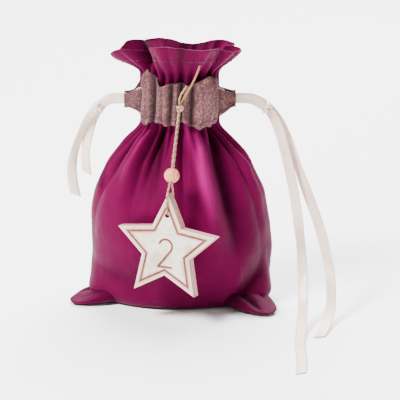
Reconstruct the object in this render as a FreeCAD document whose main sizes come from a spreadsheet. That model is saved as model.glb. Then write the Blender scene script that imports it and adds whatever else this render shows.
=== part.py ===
"""Drawstring gift sack: a sewn cloth sack with a ribbon casing, two ribbon drawstrings and a star tag.

The sack stands on z = 0 with its front towards -Y. Lengths are in millimetres. The front panel leans
forward about its bottom front edge to open the mouth, and both pairs of ribbon ties are drawn in with it.
"""

import FreeCAD, Part
import Sketcher
import math
import os
import re

from FreeCAD import Placement, Rotation, Vector

# ---------------------------------------------------------------- driving dimensions
SIZES = {
    # cloth body: height, half width and half depth of each level, from the floor up
    "base_wide": 46,
    "base_deep": 26,
    "foot_up": 8,
    "foot_wide": 51.5,
    "foot_deep": 30,
    "belly_up": 34,
    "belly_wide": 54,
    "belly_deep": 33,
    "chest_up": 62,
    "chest_wide": 52,
    "chest_deep": 31,
    "shoulder_up": 86,
    "shoulder_wide": 43,
    "shoulder_deep": 25,
    "yoke_up": 101,
    "yoke_wide": 31.5,
    "yoke_deep": 18.5,
    "neck_up": 112,
    "neck_wide": 24.5,
    "neck_deep": 15,
    "neck_long": 28,
    "frill_mid_rise": 9,
    "frill_mid_wide": 31,
    "frill_mid_deep": 21.5,
    "frill_rise": 18,
    "frill_wide": 38,
    "frill_deep": 28,
    "cloth": 1.2,
    "seam_gap": 0.4,
    "mouth_angle": 12,
    # corners of the flat bag, which stick out at the ends of the bottom seam
    "corner_long": 22,
    "corner_broad": 10,
    "corner_high": 6,
    "corner_up": 5.2,
    "corner_gap": 0.4,
    # sewn allowances inside the side and bottom seams
    "allowance": 5,
    "allowance_thick": 1.2,
    "bottom_seam_half": 36,
    # ribbon casing round the neck
    "casing_rise": 1.5,
    "casing_tall": 24,
    "casing_thick": 0.8,
    "channel": 1.6,
    "seat_gap": 0.1,
    "lip": 1,
    "slit_half": 2.5,
    "wing_end": 35,
    # drawstring ribbons inside the casing
    "ribbon_wide": 6,
    "ribbon_thick": 0.5,
    "run_gap": 0.55,
    "lower_run_rise": 4.5,
    "upper_run_rise": 15.5,
    # ties: the drawstrings' ends outside the casing, as round as their flat section is large
    "tie_radius": 0.98,
    "tie_spread": 1.15,
    "tie_tuck": 2,
    "tie_rise": 14,
    # stitches
    "stitch_long": 2.2,
    "stitch_tall": 0.5,
    "stitch_proud": 0.3,
    "stitch_pitch": 3.6,
    "hem_drop": 7,
    # twine, its knot and its anchor through the casing
    "twine_radius": 0.6,
    "twine_half_gap": 0.75,
    "knot_radius": 2.2,
    "knot_rise": 12.5,
    "knot_gap": 0.3,
    "anchor_radius": 1.1,
    "anchor_proud": 1.3,
    # bead
    "bead_radius": 4.5,
    "bead_bore": 1.8,
    "bead_above_bend": 6,
    # star tag
    "star_tip": 33,
    "star_notch": 16,
    "star_thick": 7,
    "star_side": -6,
    "star_front": 43,
    "star_yaw": 23,
    "star_lean": 7,
    "star_hole_up": 66,
    "star_hole_drop": 13,
    "star_hole": 1.5,
    "star_edge": 0.4,
    "line_inset": 2.3,
    "line_wide": 1.3,
    "line_deep": 0.6,
    "digit_radius": 4.9,
    "digit_stroke": 1.4,
    "digit_tall": 18,
    "digit_drop": 2.6,
    "loop_gap": 0.6,
    "loop_rise": 1,
    "bend_above_tip": 4.4,
}

doc = FreeCAD.newDocument("gift_sack")
sheet = doc.addObject("Spreadsheet::Sheet", "Sizes")


def fill_sheet():
    """Writes the driving dimensions, one row each, with their aliases."""
    for row, (alias, value) in enumerate(SIZES.items(), start=1):
        sheet.set(f"A{row}", alias)
        sheet.set(f"B{row}", str(value))
        sheet.setAlias(f"B{row}", alias)
    doc.recompute()


def size(alias):
    """A driving dimension, read back from the sheet."""
    return float(sheet.get(alias))


def cells(text):
    """An expression on the sheet: every alias in it gets the sheet's name."""
    return re.sub(r"[a-z_]+", lambda word: f"Sizes.{word[0]}" if word[0] in SIZES else word[0], text)


def bind(item, **formulas):
    """Binds properties of item to formulas on the sheet; two underscores stand for a dot."""
    for name, formula in formulas.items():
        item.setExpression(name.replace("__", "."), cells(formula))
    return item


# ---------------------------------------------------------------- building blocks
def ellipse(name, wide, deep, up):
    """A level ellipse about the Z axis."""
    curve = doc.addObject("Part::Ellipse", name)
    return bind(curve, MajorRadius=wide, MinorRadius=deep, Placement__Base__z=up)


def column(name, wide, deep, up, tall):
    """An upright elliptical cylinder."""
    body = doc.addObject("Part::Extrusion", name)
    body.Base = ellipse(name + "_rim", wide, deep, up)
    body.DirMode = "Custom"
    body.Dir = Vector(0, 0, 1)
    body.Solid = True
    return bind(body, LengthFwd=tall)


def loft(name, levels, inset):
    """A smooth solid through ellipses, each level given as (tag, half width, half depth, height)."""
    body = doc.addObject("Part::Loft", name)
    body.Sections = [
        ellipse(f"{name}_{tag}", f"{wide} - {inset}", f"{deep} - {inset}", up)
        for tag, wide, deep, up in levels
    ]
    body.Solid = True
    return body


def box(name, low, long):
    """A box from its low corner and its lengths, all formulas."""
    block = doc.addObject("Part::Box", name)
    bind(block, Placement__Base__x=low[0], Placement__Base__y=low[1], Placement__Base__z=low[2])
    return bind(block, Length=long[0], Width=long[1], Height=long[2])


def fuse(name, *shapes):
    """The union of several objects."""
    whole = doc.addObject("Part::MultiFuse", name)
    whole.Shapes = list(shapes)
    return whole


def cut(name, base, tool):
    """base less tool."""
    rest = doc.addObject("Part::Cut", name)
    rest.Base = base
    rest.Tool = tool
    return rest


def common(name, *shapes):
    """What several objects share."""
    shared = doc.addObject("Part::MultiCommon", name)
    shared.Shapes = list(shapes)
    return shared


def mirrored(name, source, normal=Vector(0, 1, 0)):
    """source mirrored in the plane through the origin with that normal."""
    copy = doc.addObject("Part::Mirroring", name)
    copy.Source = source
    copy.Normal = normal
    return copy


def feature(name, shape):
    """A sub-part whose shape is made with Part's own functions."""
    item = doc.addObject("Part::Feature", name)
    item.Shape = shape
    return item


# ---------------------------------------------------------------- cords
def route_wire(points, radii=None):
    """Straight runs through the points, joined by tangent arcs as large as the runs allow.

    radii may give the arc at an inner point instead. Returns the wire and the radius of each arc.
    """
    points = [Vector(*p) for p in points]
    edges, used, start = [], [], points[0]
    for i in range(1, len(points) - 1):
        before, after = points[i] - points[i - 1], points[i + 1] - points[i]
        shorter = min(before.Length, after.Length)
        half_turn = before.getAngle(after) / 2
        radius = (radii or {}).get(i, 0.45 * shorter / math.tan(half_turn))
        reach = radius * math.tan(half_turn)
        inward, outward = before.normalize(), after.normalize()
        first, last = points[i] - inward * reach, points[i] + outward * reach
        toward = (outward - inward).normalize()
        middle = points[i] + toward * (radius / math.cos(half_turn) - radius)
        edges += [Part.LineSegment(start, first).toShape(), Part.Arc(first, middle, last).toShape()]
        start = last
        used.append(radius)
    edges.append(Part.LineSegment(start, points[-1]).toShape())
    return Part.Wire(edges), used


def tube(points, radius, radii=None):
    """A round tube along the route, checked against its section times its length."""
    path, used = route_wire(points, radii)
    first = path.Edges[0]
    start, along = first.valueAt(first.FirstParameter), first.tangentAt(first.FirstParameter)
    ring = Part.Wire(Part.makeCircle(radius, start, along))
    solid = path.makePipeShell([ring], True, False)
    if solid.Volume < 0:
        solid.reverse()
    share = solid.Volume / (math.pi * radius**2 * path.Length)
    print(f"tube {path.Length:.1f} mm, tightest arc {min(used):.1f} mm, volume share {share:.3f}")
    return solid


# ---------------------------------------------------------------- cloth sack
BODY_LEVELS = ("foot", "belly", "chest", "shoulder", "yoke", "neck")


def sack_solid(name, inset, floor_up):
    """The sack's outer form, taken in by inset all round and starting at floor_up."""
    levels = [("base", "base_wide", "base_deep", floor_up)]
    levels += [(tag, f"{tag}_wide", f"{tag}_deep", f"{tag}_up") for tag in BODY_LEVELS]
    trunk = loft(f"{name}_trunk", levels, inset)
    neck = column(f"{name}_neck", f"neck_wide - {inset}", f"neck_deep - {inset}", "neck_up", "neck_long")
    top = "neck_up + neck_long"
    frill = loft(
        f"{name}_frill",
        [
            ("low", "neck_wide", "neck_deep", top),
            ("mid", "frill_mid_wide", "frill_mid_deep", f"{top} + frill_mid_rise"),
            ("top", "frill_wide", "frill_deep", f"{top} + frill_rise"),
        ],
        inset,
    )
    return fuse(name, trunk, neck, frill)


def half_space(name, sign, gap):
    """A large box in front of the seam plane, or behind it when sign is 1, gap away from it."""
    deep = "2 * frill_deep + 2 * belly_deep"
    low = gap if sign > 0 else f"0 - ( {deep} ) - {gap}"
    return box(name, ("-2 * belly_wide", low, "0"), ("4 * belly_wide", deep, "4 * neck_up"))


def make_panels():
    """Front and back cloth panels, each from the floor to the frill, and the seam allowances inside."""
    shell = cut("shell", sack_solid("outer", "0", "0"), sack_solid("inner", "cloth", "cloth"))
    common("front_panel", shell, half_space("front_room", -1, "seam_gap / 2"))
    common("back_panel", shell, half_space("back_room", 1, "seam_gap / 2"))

    lining = sack_solid("lining", "( cloth + seat_gap )", "cloth")
    core = sack_solid("core", "( cloth + allowance )", "cloth + allowance")
    slab = box(
        "seam_slab",
        ("-2 * belly_wide", "seam_gap / 2", "0"),
        ("4 * belly_wide", "allowance_thick", "4 * neck_up"),
    )
    rim = cut("seam_rim", common("seam_sheet", lining, slab), core)
    middle = box(
        "bottom_slab",
        ("-bottom_seam_half", "-belly_deep", "0"),
        ("2 * bottom_seam_half", "2 * belly_deep", "foot_up + allowance"),
    )
    sides = cut("seam_sides", rim, middle)
    half = ("4 * belly_wide", "2 * belly_deep", "4 * neck_up")
    for side, low in (("left", "-4 * belly_wide"), ("right", "0")):
        room = box(f"{side}_room", (low, "-belly_deep", "0"), half)
        common(f"{side}_seam", sides, room)
    common("bottom_seam", rim, middle)


# The folded corners: centre on the floor plan and the way the corner points, in degrees from +X.
CORNERS = {"right_corner": (42.5, -23, -50), "left_corner": (-47, -8, -158)}


def make_corners():
    """The two corners of the flat bag, folded out on the floor beside the filled body."""
    around = sack_solid("corner_seat", "-corner_gap", "0")
    opened = sack_solid("corner_room", "-corner_gap", "0")
    lean = Rotation(Vector(1, 0, 0), size("mouth_angle"))
    opened.Placement = Placement(Vector(0, 0, 0), lean, Vector(0, -size("base_deep"), 0))
    for name, (x, y, turn) in CORNERS.items():
        lens = doc.addObject("Part::Ellipsoid", f"{name}_lens")
        bind(lens, Radius1="corner_high", Radius2="corner_long", Radius3="corner_broad")
        lens.Placement = Placement(Vector(x, y, 0), Rotation(Vector(0, 0, 1), turn))
        bind(lens, Placement__Base__z="corner_up")
        ground = box(
            f"{name}_ground",
            ("-2 * belly_wide", "-2 * belly_wide", "0"),
            ("4 * belly_wide", "4 * belly_wide", "foot_up + corner_high"),
        )
        cut(name, cut(f"{name}_seated", common(f"{name}_flat", lens, ground), around), opened)


# ---------------------------------------------------------------- casing and drawstring runs
def band(name, inner, outer, up, tall):
    """An elliptical ring about the neck, from inner to outer stand-off."""
    return cut(
        name,
        column(f"{name}_out", f"neck_wide + {outer}", f"neck_deep + {outer}", up, tall),
        column(f"{name}_in", f"neck_wide + {inner}", f"neck_deep + {inner}", up, tall),
    )


def make_casings():
    """The ribbon sewn round the neck in two halves, open at both sides where the ties leave."""
    low = "neck_up + casing_rise"
    wall = band("casing_wall", "channel", "( channel + casing_thick )", low, "casing_tall")
    lower = band("casing_lower_lip", "seat_gap", "( channel + casing_thick / 2 )", low, "lip")
    upper = band(
        "casing_upper_lip", "seat_gap", "( channel + casing_thick / 2 )", f"{low} + casing_tall - lip", "lip"
    )
    ring = common(
        "casing_half", fuse("casing_ring", wall, lower, upper), half_space("casing_room", -1, "slit_half")
    )
    start = "neck_wide + channel"
    wings = [
        box(
            f"{side}_wing",
            (x, "-slit_half - casing_thick", low),
            (f"wing_end - ( {start} )", "casing_thick", "casing_tall"),
        )
        for side, x in (("left", "-wing_end"), ("right", start))
    ]
    front = fuse("front_casing", ring, *wings)
    mirrored("back_casing", front)


def make_runs():
    """The two drawstring ribbons where they run round the neck inside the casing."""
    room = half_space("run_room", -1, "slit_half")
    for level in ("lower", "upper"):
        ring = band(
            f"{level}_run",
            "run_gap",
            "( run_gap + ribbon_thick )",
            f"neck_up + {level}_run_rise",
            "ribbon_wide",
        )
        front = common(f"{level}_ribbon_front", ring, room)
        mirrored(f"{level}_ribbon_back", front)


# ---------------------------------------------------------------- ties
# Each tie is a route chosen by hand, from outside its exit in the casing to its free end.
# Its first point, inside the casing's open side, comes from the sizes.
RIGHT_FRONT = [
    (45, -1.5, 125.5),
    (56.5, -2, 116.5),
    (63, -6, 97),
    (68, -13, 75),
    (71.5, -23, 53),
    (73.5, -33, 31),
    (73.5, -47, 12),
    (71, -66, 1.6),
    (69, -88, 1.1),
    (69.5, -109, 1.2),
    (67.5, -128, 1),
]
RIGHT_BACK = [
    (45, 1.5, 125.5),
    (57, 3, 117.5),
    (66, -1, 99),
    (74.5, -9, 76),
    (84, -17, 52),
    (90, -27, 29),
    (91, -41, 11),
    (86.5, -57, 1.6),
    (81, -74, 1),
]
LEFT_FRONT = [
    (-44, -1.5, 125.5),
    (-53.5, -3, 117.5),
    (-60, -5, 105),
    (-65, -6, 91.5),
    (-66, -7.5, 78),
    (-63, -9, 66),
]
LEFT_BACK = [
    (-44, 1.5, 125.5),
    (-52, 0.5, 116.5),
    (-55.5, -3, 104.5),
    (-57.5, -8, 92),
    (-56, -12, 80.5),
]
TIES = {
    "right_tie_front": (RIGHT_FRONT, 1, -1),
    "right_tie_back": (RIGHT_BACK, 1, 1),
    "left_tie_front": (LEFT_FRONT, -1, -1),
    "left_tie_back": (LEFT_BACK, -1, 1),
}
TIE_KNOT_CENTRE = {"left": (-49.5, -0.8, 120.5), "right": (51.5, 0, 121)}
TIE_KNOT_RADII = (3.6, 4.2, 3.4)


def make_ties():
    """The four loose ribbon ends as plain tubes, and the overhand knot that joins each pair."""
    for name, (route, side, face) in TIES.items():
        tucked = side * (size("wing_end") - size("tie_tuck"))
        start = (tucked, face * size("tie_spread"), size("neck_up") + size("tie_rise"))
        feature(name, tube([start, *route], size("tie_radius")))
    for side, centre in TIE_KNOT_CENTRE.items():
        knot = doc.addObject("Part::Ellipsoid", f"{side}_knot")
        knot.Radius2, knot.Radius3, knot.Radius1 = TIE_KNOT_RADII
        knot.Placement.Base = Vector(*centre)


# ---------------------------------------------------------------- stitches
def stitch_row(wide, deep, up, depth, inset):
    """Stitches round the front half of an ellipse: short bars that go in by depth from proud of it."""
    bars = []
    long, tall, proud = size("stitch_long"), size("stitch_tall"), size("stitch_proud")
    turn, last = -math.pi / 2, None
    while turn < math.pi / 2:
        here = Vector(wide * math.sin(turn), -deep * math.cos(turn), up)
        if here.y < -inset and (last is None or (here - last).Length >= size("stitch_pitch")):
            outward = Vector(math.sin(turn) / wide, -math.cos(turn) / deep, 0).normalize()
            bar = Part.makeBox(long, depth + proud, tall, Vector(-long / 2, -proud, -tall / 2))
            angle = math.degrees(math.atan2(outward.x, -outward.y))
            bar.Placement = Placement(here, Rotation(Vector(0, 0, 1), angle))
            bars.append(bar)
            last = here
        turn += 0.002
    return bars


def make_stitches():
    """Thread that holds the casing to the panels, and the hem of the frill."""
    stand_off = size("channel") + size("casing_thick")
    low = size("neck_up") + size("casing_rise")
    through = stand_off + size("cloth") + size("stitch_proud")
    rows = []
    for up in (low + size("lip") / 2, low + size("casing_tall") - size("lip") / 2):
        rows += stitch_row(
            size("neck_wide") + stand_off, size("neck_deep") + stand_off, up, through, 2 * size("slit_half")
        )
    mirrored("back_casing_thread", feature("front_casing_thread", Part.makeCompound(rows)))

    drop = size("hem_drop")
    share = drop / (size("frill_rise") - size("frill_mid_rise"))
    wide = size("frill_wide") + share * (size("frill_mid_wide") - size("frill_wide"))
    deep = size("frill_deep") + share * (size("frill_mid_deep") - size("frill_deep"))
    up = size("neck_up") + size("neck_long") + size("frill_rise") - drop
    row = stitch_row(wide, deep, up, size("cloth") + size("stitch_proud"), 2 * size("slit_half"))
    mirrored("back_hem_thread", feature("front_hem_thread", Part.makeCompound(row)))


# ---------------------------------------------------------------- twine, bead and star
def star_axes():
    """The star's own directions: across it, up it and out of its face."""
    yaw = Rotation(Vector(0, 0, 1), -size("star_yaw"))
    turn = yaw.multiply(Rotation(Vector(1, 0, 0), -size("star_lean")))
    return turn.multVec(Vector(1, 0, 0)), turn.multVec(Vector(0, 0, 1)), turn.multVec(Vector(0, -1, 0))


def hole_place():
    """The middle of the star's hole."""
    return Vector(size("star_side"), -size("star_front"), size("star_hole_up"))


def knot_place():
    """The middle of the twine's knot, in front of the casing."""
    wall = size("neck_deep") + size("channel") + size("casing_thick")
    front = wall + size("anchor_proud") + size("knot_gap") + size("knot_radius")
    return Vector(0, -front, size("neck_up") + size("knot_rise"))


def bend_place():
    """Where the two strands of the twine part, above the star's top point."""
    up = star_axes()[1]
    return hole_place() + up * (size("star_hole_drop") + size("bend_above_tip"))


def make_twine():
    """The loop that carries the star, its knot, the anchor through the casing and the cut ends."""
    _, up, out = star_axes()
    hole, bend, knot = hole_place(), bend_place(), knot_place()
    near = out * size("twine_half_gap")
    radius = size("twine_radius")
    side = size("star_thick") / 2 + radius + size("loop_gap")
    crest = up * (size("star_hole_drop") + size("loop_rise"))
    front, rear = hole + out * side, hole - out * side
    loop = [knot + near, bend + near, front + crest, front, rear, rear + crest, bend - near, knot - near]
    turn = size("loop_gap") + radius / 2
    feature("twine_loop", tube(loop, radius, {3: turn, 4: turn}))

    ball = doc.addObject("Part::Sphere", "twine_knot")
    bind(ball, Radius="knot_radius", Placement__Base__z="neck_up + knot_rise")
    wall = "neck_deep + channel + casing_thick"
    bind(ball, Placement__Base__y=f"0 - ( {wall} + anchor_proud + knot_gap + knot_radius )")

    inner = size("neck_deep") - size("cloth") - size("anchor_proud") / 2
    outer = size("neck_deep") + size("channel") + size("casing_thick") + size("anchor_proud")
    back = Vector(0, -inner, knot.z)
    anchor = Part.makeCylinder(size("anchor_radius"), outer - inner, back, Vector(0, -1, 0))
    feature("twine_anchor", anchor)
    root = Vector(0, -outer + size("anchor_proud") / 2, knot.z + size("anchor_radius") / 2)
    ends = [tube([root, *(root + Vector(*step) for step in offsets)], radius) for offsets in CUT_ENDS]
    feature("twine_ends", ends[0].fuse(ends[1]))


# Steps from the anchor to the points of each cut end of the twine.
CUT_ENDS = (
    [(1.5, -0.6, 4), (5, -2.2, 10), (9, -5.5, 18), (11.5, -7, 25)],
    [(-0.4, -0.7, 3.6), (0.5, -1.2, 7.5), (3.6, -1.6, 12)],
)


def make_bead():
    """A round wooden bead on both strands, resting where they part."""
    along = (knot_place() - bend_place()).normalize()
    centre = bend_place() + along * size("bead_above_bend")
    ball = doc.addObject("Part::Sphere", "bead_ball")
    bore = doc.addObject("Part::Cylinder", "bead_hole")
    bind(ball, Radius="bead_radius")
    bind(bore, Radius="bead_bore", Height="4 * bead_radius", Placement__Base__z="-2 * bead_radius")
    bead = cut("bead", ball, bore)
    bead.Placement = Placement(centre, Rotation(Vector(0, 0, 1), along))


def sketch_on(body, name, role):
    """An empty sketch on one of the body's own origin planes."""
    plane = next(f for f in body.Origin.OriginFeatures if f.Role == role)
    drawing = body.newObject("Sketcher::SketchObject", name)
    drawing.AttachmentSupport = [(plane, "")]
    drawing.MapMode = "FlatFace"
    return drawing


def star_share(inset):
    """How far an outline drawn inset from the star's edge is shrunk, as a formula and a number."""
    edge = (
        "star_tip * star_notch * sin(36deg) / "
        "sqrt( star_tip * star_tip + star_notch * star_notch - 2 * star_tip * star_notch * cos(36deg) )"
    )
    tip, notch = size("star_tip"), size("star_notch")
    fifth = math.radians(36)
    side = math.sqrt(tip**2 + notch**2 - 2 * tip * notch * math.cos(fifth))
    share = 1 - sum(size(word) for word in inset) * side / (tip * notch * math.sin(fifth))
    return f"( 1 - ( {' + '.join(inset) or 0} ) / ( {edge} ) )", share


def add_star(drawing, inset=()):
    """A five-pointed outline whose corners are held by dimensions from its middle."""
    formula, share = star_share(inset)
    first = drawing.GeometryCount
    corners = []
    for i in range(10):
        word = "star_notch" if i % 2 else "star_tip"
        turn = 90 + 36 * i
        corner = Rotation(Vector(0, 0, 1), turn).multVec(Vector(size(word) * share, 0, 0))
        corners.append((word, turn, corner.x, corner.y))
    for i, (_, _, x, y) in enumerate(corners):
        nx, ny = corners[(i + 1) % 10][2:]
        drawing.addGeometry(Part.LineSegment(Vector(x, y, 0), Vector(nx, ny, 0)), False)
    for i in range(10):
        drawing.addConstraint(Sketcher.Constraint("Coincident", first + i, 2, first + (i + 1) % 10, 1))
    for i, (word, turn, x, y) in enumerate(corners):
        for kind, rule, value in (("DistanceX", "cos", x), ("DistanceY", "sin", y)):
            row = drawing.addConstraint(Sketcher.Constraint(kind, -1, 1, first + i, 1, value))
            place = cells(f"{word} * {rule}({turn}deg) * {formula} * 1mm")
            drawing.setExpression(f"Constraints[{row}]", place)


def add_digit(drawing):
    """The outline of a plain 2: a bowl, a slanting stroke and a foot."""
    outer, stroke = size("digit_radius"), size("digit_stroke")
    inner = outer - stroke
    top = size("digit_tall") / 2 - size("digit_drop")
    foot = top - size("digit_tall")
    middle = Vector(0, top - outer, 0)
    hook, leave = math.radians(165), math.radians(-38)

    def on_bowl(radius, turn):
        return middle + Vector(radius * math.cos(turn), radius * math.sin(turn), 0)

    rim = [
        on_bowl(outer, leave),
        Vector(-outer + 1.6 * stroke, foot + stroke, 0),
        Vector(outer, foot + stroke, 0),
        Vector(outer, foot, 0),
        Vector(-outer, foot, 0),
        Vector(-outer, foot + 0.7 * stroke, 0),
        on_bowl(inner, leave),
    ]
    for start, end in zip(rim, rim[1:]):
        drawing.addGeometry(Part.LineSegment(start, end), False)
    half = (hook + leave) / 2
    drawing.addGeometry(Part.Arc(on_bowl(outer, hook), on_bowl(outer, half), on_bowl(outer, leave)), False)
    drawing.addGeometry(Part.Arc(on_bowl(inner, hook), on_bowl(inner, half), on_bowl(inner, leave)), False)
    drawing.addGeometry(Part.LineSegment(on_bowl(inner, hook), on_bowl(outer, hook)), False)


def is_outer_rim(edge):
    """Whether an edge runs along the outline of the star's front or back face."""
    first, last = (vertex.Point for vertex in edge.Vertexes)
    level = abs(first.z - last.z) < 1e-6 and min(abs(first.z), abs(first.z - size("star_thick"))) < 1e-6
    reaches = [size("star_tip"), size("star_notch")]
    ends = [math.hypot(point.x, point.y) for point in (first, last)]
    return level and all(min(abs(end - reach) for reach in reaches) < 1e-6 for end in ends)


def make_star():
    """The star tag: a thick wooden star with a burnt outline, a number and a hole for the twine."""
    body = doc.addObject("PartDesign::Body", "star_tag")
    outline = sketch_on(body, "star_outline", "XY_Plane")
    add_star(outline)
    plate = body.newObject("PartDesign::Pad", "star_plate")
    plate.Profile = outline
    bind(plate, Length="star_thick")
    doc.recompute()

    groove = sketch_on(body, "line_outline", "XY_Plane")
    bind(groove, AttachmentOffset__Base__z="star_thick")
    add_star(groove, ("line_inset",))
    add_star(groove, ("line_inset", "line_wide"))
    digit = sketch_on(body, "digit_outline", "XY_Plane")
    bind(digit, AttachmentOffset__Base__z="star_thick")
    add_digit(digit)
    hole = sketch_on(body, "hole_outline", "XY_Plane")
    bind(hole, AttachmentOffset__Base__z="star_thick")
    reach = size("star_tip") - size("star_hole_drop")
    hole.addGeometry(Part.Circle(Vector(0, reach, 0), Vector(0, 0, 1), size("star_hole")), False)
    hole.addConstraint(Sketcher.Constraint("PointOnObject", 0, 3, -2))
    row = hole.addConstraint(Sketcher.Constraint("DistanceY", -1, 1, 0, 3, reach))
    hole.setExpression(f"Constraints[{row}]", cells("star_tip - star_hole_drop"))
    row = hole.addConstraint(Sketcher.Constraint("Radius", 0, size("star_hole")))
    hole.setExpression(f"Constraints[{row}]", cells("star_hole"))
    doc.recompute()
    before = plate.Shape.Volume
    for name, drawing, deep in (
        ("line_groove", groove, "line_deep"),
        ("digit_groove", digit, "line_deep"),
        ("twine_hole", hole, "2 * star_thick"),
    ):
        pocket = body.newObject("PartDesign::Pocket", name)
        pocket.Profile = drawing
        bind(pocket, Length=deep)
        doc.recompute()
        if not pocket.Shape.Volume < before:
            raise RuntimeError(f"{name} cuts nothing")
        before = pocket.Shape.Volume

    rims = [
        f"Edge{i}"
        for i, edge in enumerate(body.Shape.Edges, start=1)
        if len(edge.Vertexes) == 2 and is_outer_rim(edge)
    ]
    bevel = body.newObject("PartDesign::Chamfer", "worn_edge")
    bevel.Base = (pocket, rims)
    bind(bevel, Size="star_edge")

    across, up, out = star_axes()
    centre = hole_place() - up * (size("star_tip") - size("star_hole_drop"))
    facing = FreeCAD.Matrix(
        across.x, up.x, out.x, 0, across.y, up.y, out.y, 0, across.z, up.z, out.z, 0, 0, 0, 0, 1
    )
    body.Placement = Placement(centre - out * (size("star_thick") / 2), Rotation(facing))


# ---------------------------------------------------------------- building and writing
NODES = (
    "front_panel", "back_panel", "left_seam", "right_seam", "bottom_seam", "left_corner", "right_corner",
    "front_casing", "back_casing", "lower_ribbon_front", "lower_ribbon_back", "upper_ribbon_front",
    "upper_ribbon_back", "front_casing_thread", "back_casing_thread", "front_hem_thread", "back_hem_thread",
    "left_tie_front", "left_tie_back", "right_tie_front", "right_tie_back", "left_knot", "right_knot",
    "twine_anchor", "twine_ends", "twine_knot", "twine_loop", "bead", "star_tag",
)


def write_nodes():
    """Checks every object and writes each sub-part's shape to its own file."""
    doc.recompute()
    for item in doc.Objects:
        if {"Invalid", "Error"} & set(item.State):
            raise RuntimeError(f"{item.Name}: {item.State}")
    os.makedirs("parts", exist_ok=True)
    for name in NODES:
        item = doc.getObject(name)
        item.Label = name
        shape = item.Shape
        if shape.isNull() or not shape.isValid() or not shape.Solids:
            raise RuntimeError(f"{name} has no valid solid")
        shape.exportStep(f"parts/{name}.step")


def print_axes():
    """Prints the places and directions that the joints turn about or slide along."""
    out = star_axes()[2]
    along = (knot_place() - bend_place()).normalize()
    free = (knot_place() - bend_place()).Length - size("bead_above_bend") - size("bead_radius")
    print("knot", knot_place(), "hole", hole_place(), "face", out)
    print("bead along", along, "free", free - size("knot_radius"))


fill_sheet()
make_panels()
make_corners()
make_casings()
make_runs()
make_ties()
make_stitches()
make_twine()
make_bead()
make_star()
write_nodes()
print_axes()
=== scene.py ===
"""Looks of a small drawstring gift sack: gathered cotton, woven casing, satin ties and a star tag.

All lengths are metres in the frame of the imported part: +Z up, the front with the star towards -Y.
"""

import logging
import math
from dataclasses import dataclass, field
from enum import Enum
from typing import Callable, Iterable, Sequence

import bpy
import numpy as np
from mathutils import Matrix, Vector, noise


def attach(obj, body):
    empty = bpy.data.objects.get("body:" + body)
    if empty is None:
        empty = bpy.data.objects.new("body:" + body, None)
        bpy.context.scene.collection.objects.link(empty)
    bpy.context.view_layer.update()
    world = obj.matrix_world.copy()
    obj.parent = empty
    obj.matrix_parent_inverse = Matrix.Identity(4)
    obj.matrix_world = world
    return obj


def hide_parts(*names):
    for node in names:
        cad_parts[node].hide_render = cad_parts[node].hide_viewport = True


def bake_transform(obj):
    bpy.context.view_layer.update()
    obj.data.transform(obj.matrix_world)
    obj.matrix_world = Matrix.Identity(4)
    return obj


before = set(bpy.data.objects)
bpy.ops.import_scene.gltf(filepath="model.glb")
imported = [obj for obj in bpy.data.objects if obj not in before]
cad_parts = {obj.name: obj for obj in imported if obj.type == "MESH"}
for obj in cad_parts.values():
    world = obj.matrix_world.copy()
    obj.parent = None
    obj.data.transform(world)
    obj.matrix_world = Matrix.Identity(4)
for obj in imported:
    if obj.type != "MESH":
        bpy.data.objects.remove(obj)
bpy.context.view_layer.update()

MM = 0.001
STAR_DROP, STAR_THICK = 20, 7
LOG = logging.getLogger("gift_sack")


class Side(Enum):
    """The two cloth halves of the sack, as the way each faces along Y."""

    FRONT = -1
    BACK = 1


# ---------------------------------------------------------------- small helpers
def deselect() -> None:
    """Clears the selection, so that an operator acts on new geometry only."""
    bpy.ops.object.select_all(action="DESELECT")


def activate(piece: bpy.types.Object) -> None:
    """Makes piece the only selected and the active object."""
    deselect()
    piece.select_set(True)
    bpy.context.view_layer.objects.active = piece


def apply_all(piece: bpy.types.Object) -> None:
    """Applies every modifier on piece, in order."""
    activate(piece)
    for modifier in list(piece.modifiers):
        bpy.ops.object.modifier_apply(modifier=modifier.name)


def settle(piece: bpy.types.Object) -> None:
    """Moves piece's place, turn and scale into its mesh."""
    activate(piece)
    bpy.ops.object.transform_apply(location=True, rotation=True, scale=True)


def coordinates(piece: bpy.types.Object) -> np.ndarray:
    """Returns piece's vertex places as an array of one row each."""
    flat = np.zeros(len(piece.data.vertices) * 3)
    piece.data.vertices.foreach_get("co", flat)
    return flat.reshape(-1, 3)


def place_vertices(piece: bpy.types.Object, places: np.ndarray) -> None:
    """Writes an array of places back to piece's vertices."""
    piece.data.vertices.foreach_set("co", np.ascontiguousarray(places, float).ravel())
    piece.data.update()


def smoothstep(value: np.ndarray | float) -> np.ndarray | float:
    """Returns a smooth rise from 0 to 1 as value goes from 0 to 1."""
    clipped = np.clip(value, 0, 1)
    return clipped * clipped * (3 - 2 * clipped)


def wrapped(angle: np.ndarray) -> np.ndarray:
    """Returns angles, in degrees, brought to between -180 and 180."""
    return (angle + 180) % 360 - 180


def bell(ratio: np.ndarray, power: float = 2) -> np.ndarray:
    """Returns a hump of 1 where ratio is 0, which falls away on both sides of it."""
    return np.exp(-(np.abs(ratio) ** power))


def face_outwards() -> None:
    """Turns the selected faces outwards."""
    bpy.ops.mesh.normals_make_consistent(inside=False)


def edit_whole(piece: bpy.types.Object, *steps: Callable[[], object]) -> None:
    """Runs steps in Edit Mode, each with the whole mesh of piece selected."""
    activate(piece)
    bpy.ops.object.mode_set(mode="EDIT")
    for step in steps:
        bpy.ops.mesh.select_all(action="SELECT")
        step()
    bpy.ops.object.mode_set(mode="OBJECT")


def scale_uv(piece: bpy.types.Object, factors: Sequence[float]) -> None:
    """Scales piece's UV map to a real size in metres."""
    layer = piece.data.uv_layers.active.data
    values = np.zeros(len(layer) * 2)
    layer.foreach_get("uv", values)
    layer.foreach_set("uv", (values.reshape(-1, 2) * np.array(factors)).ravel())


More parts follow.
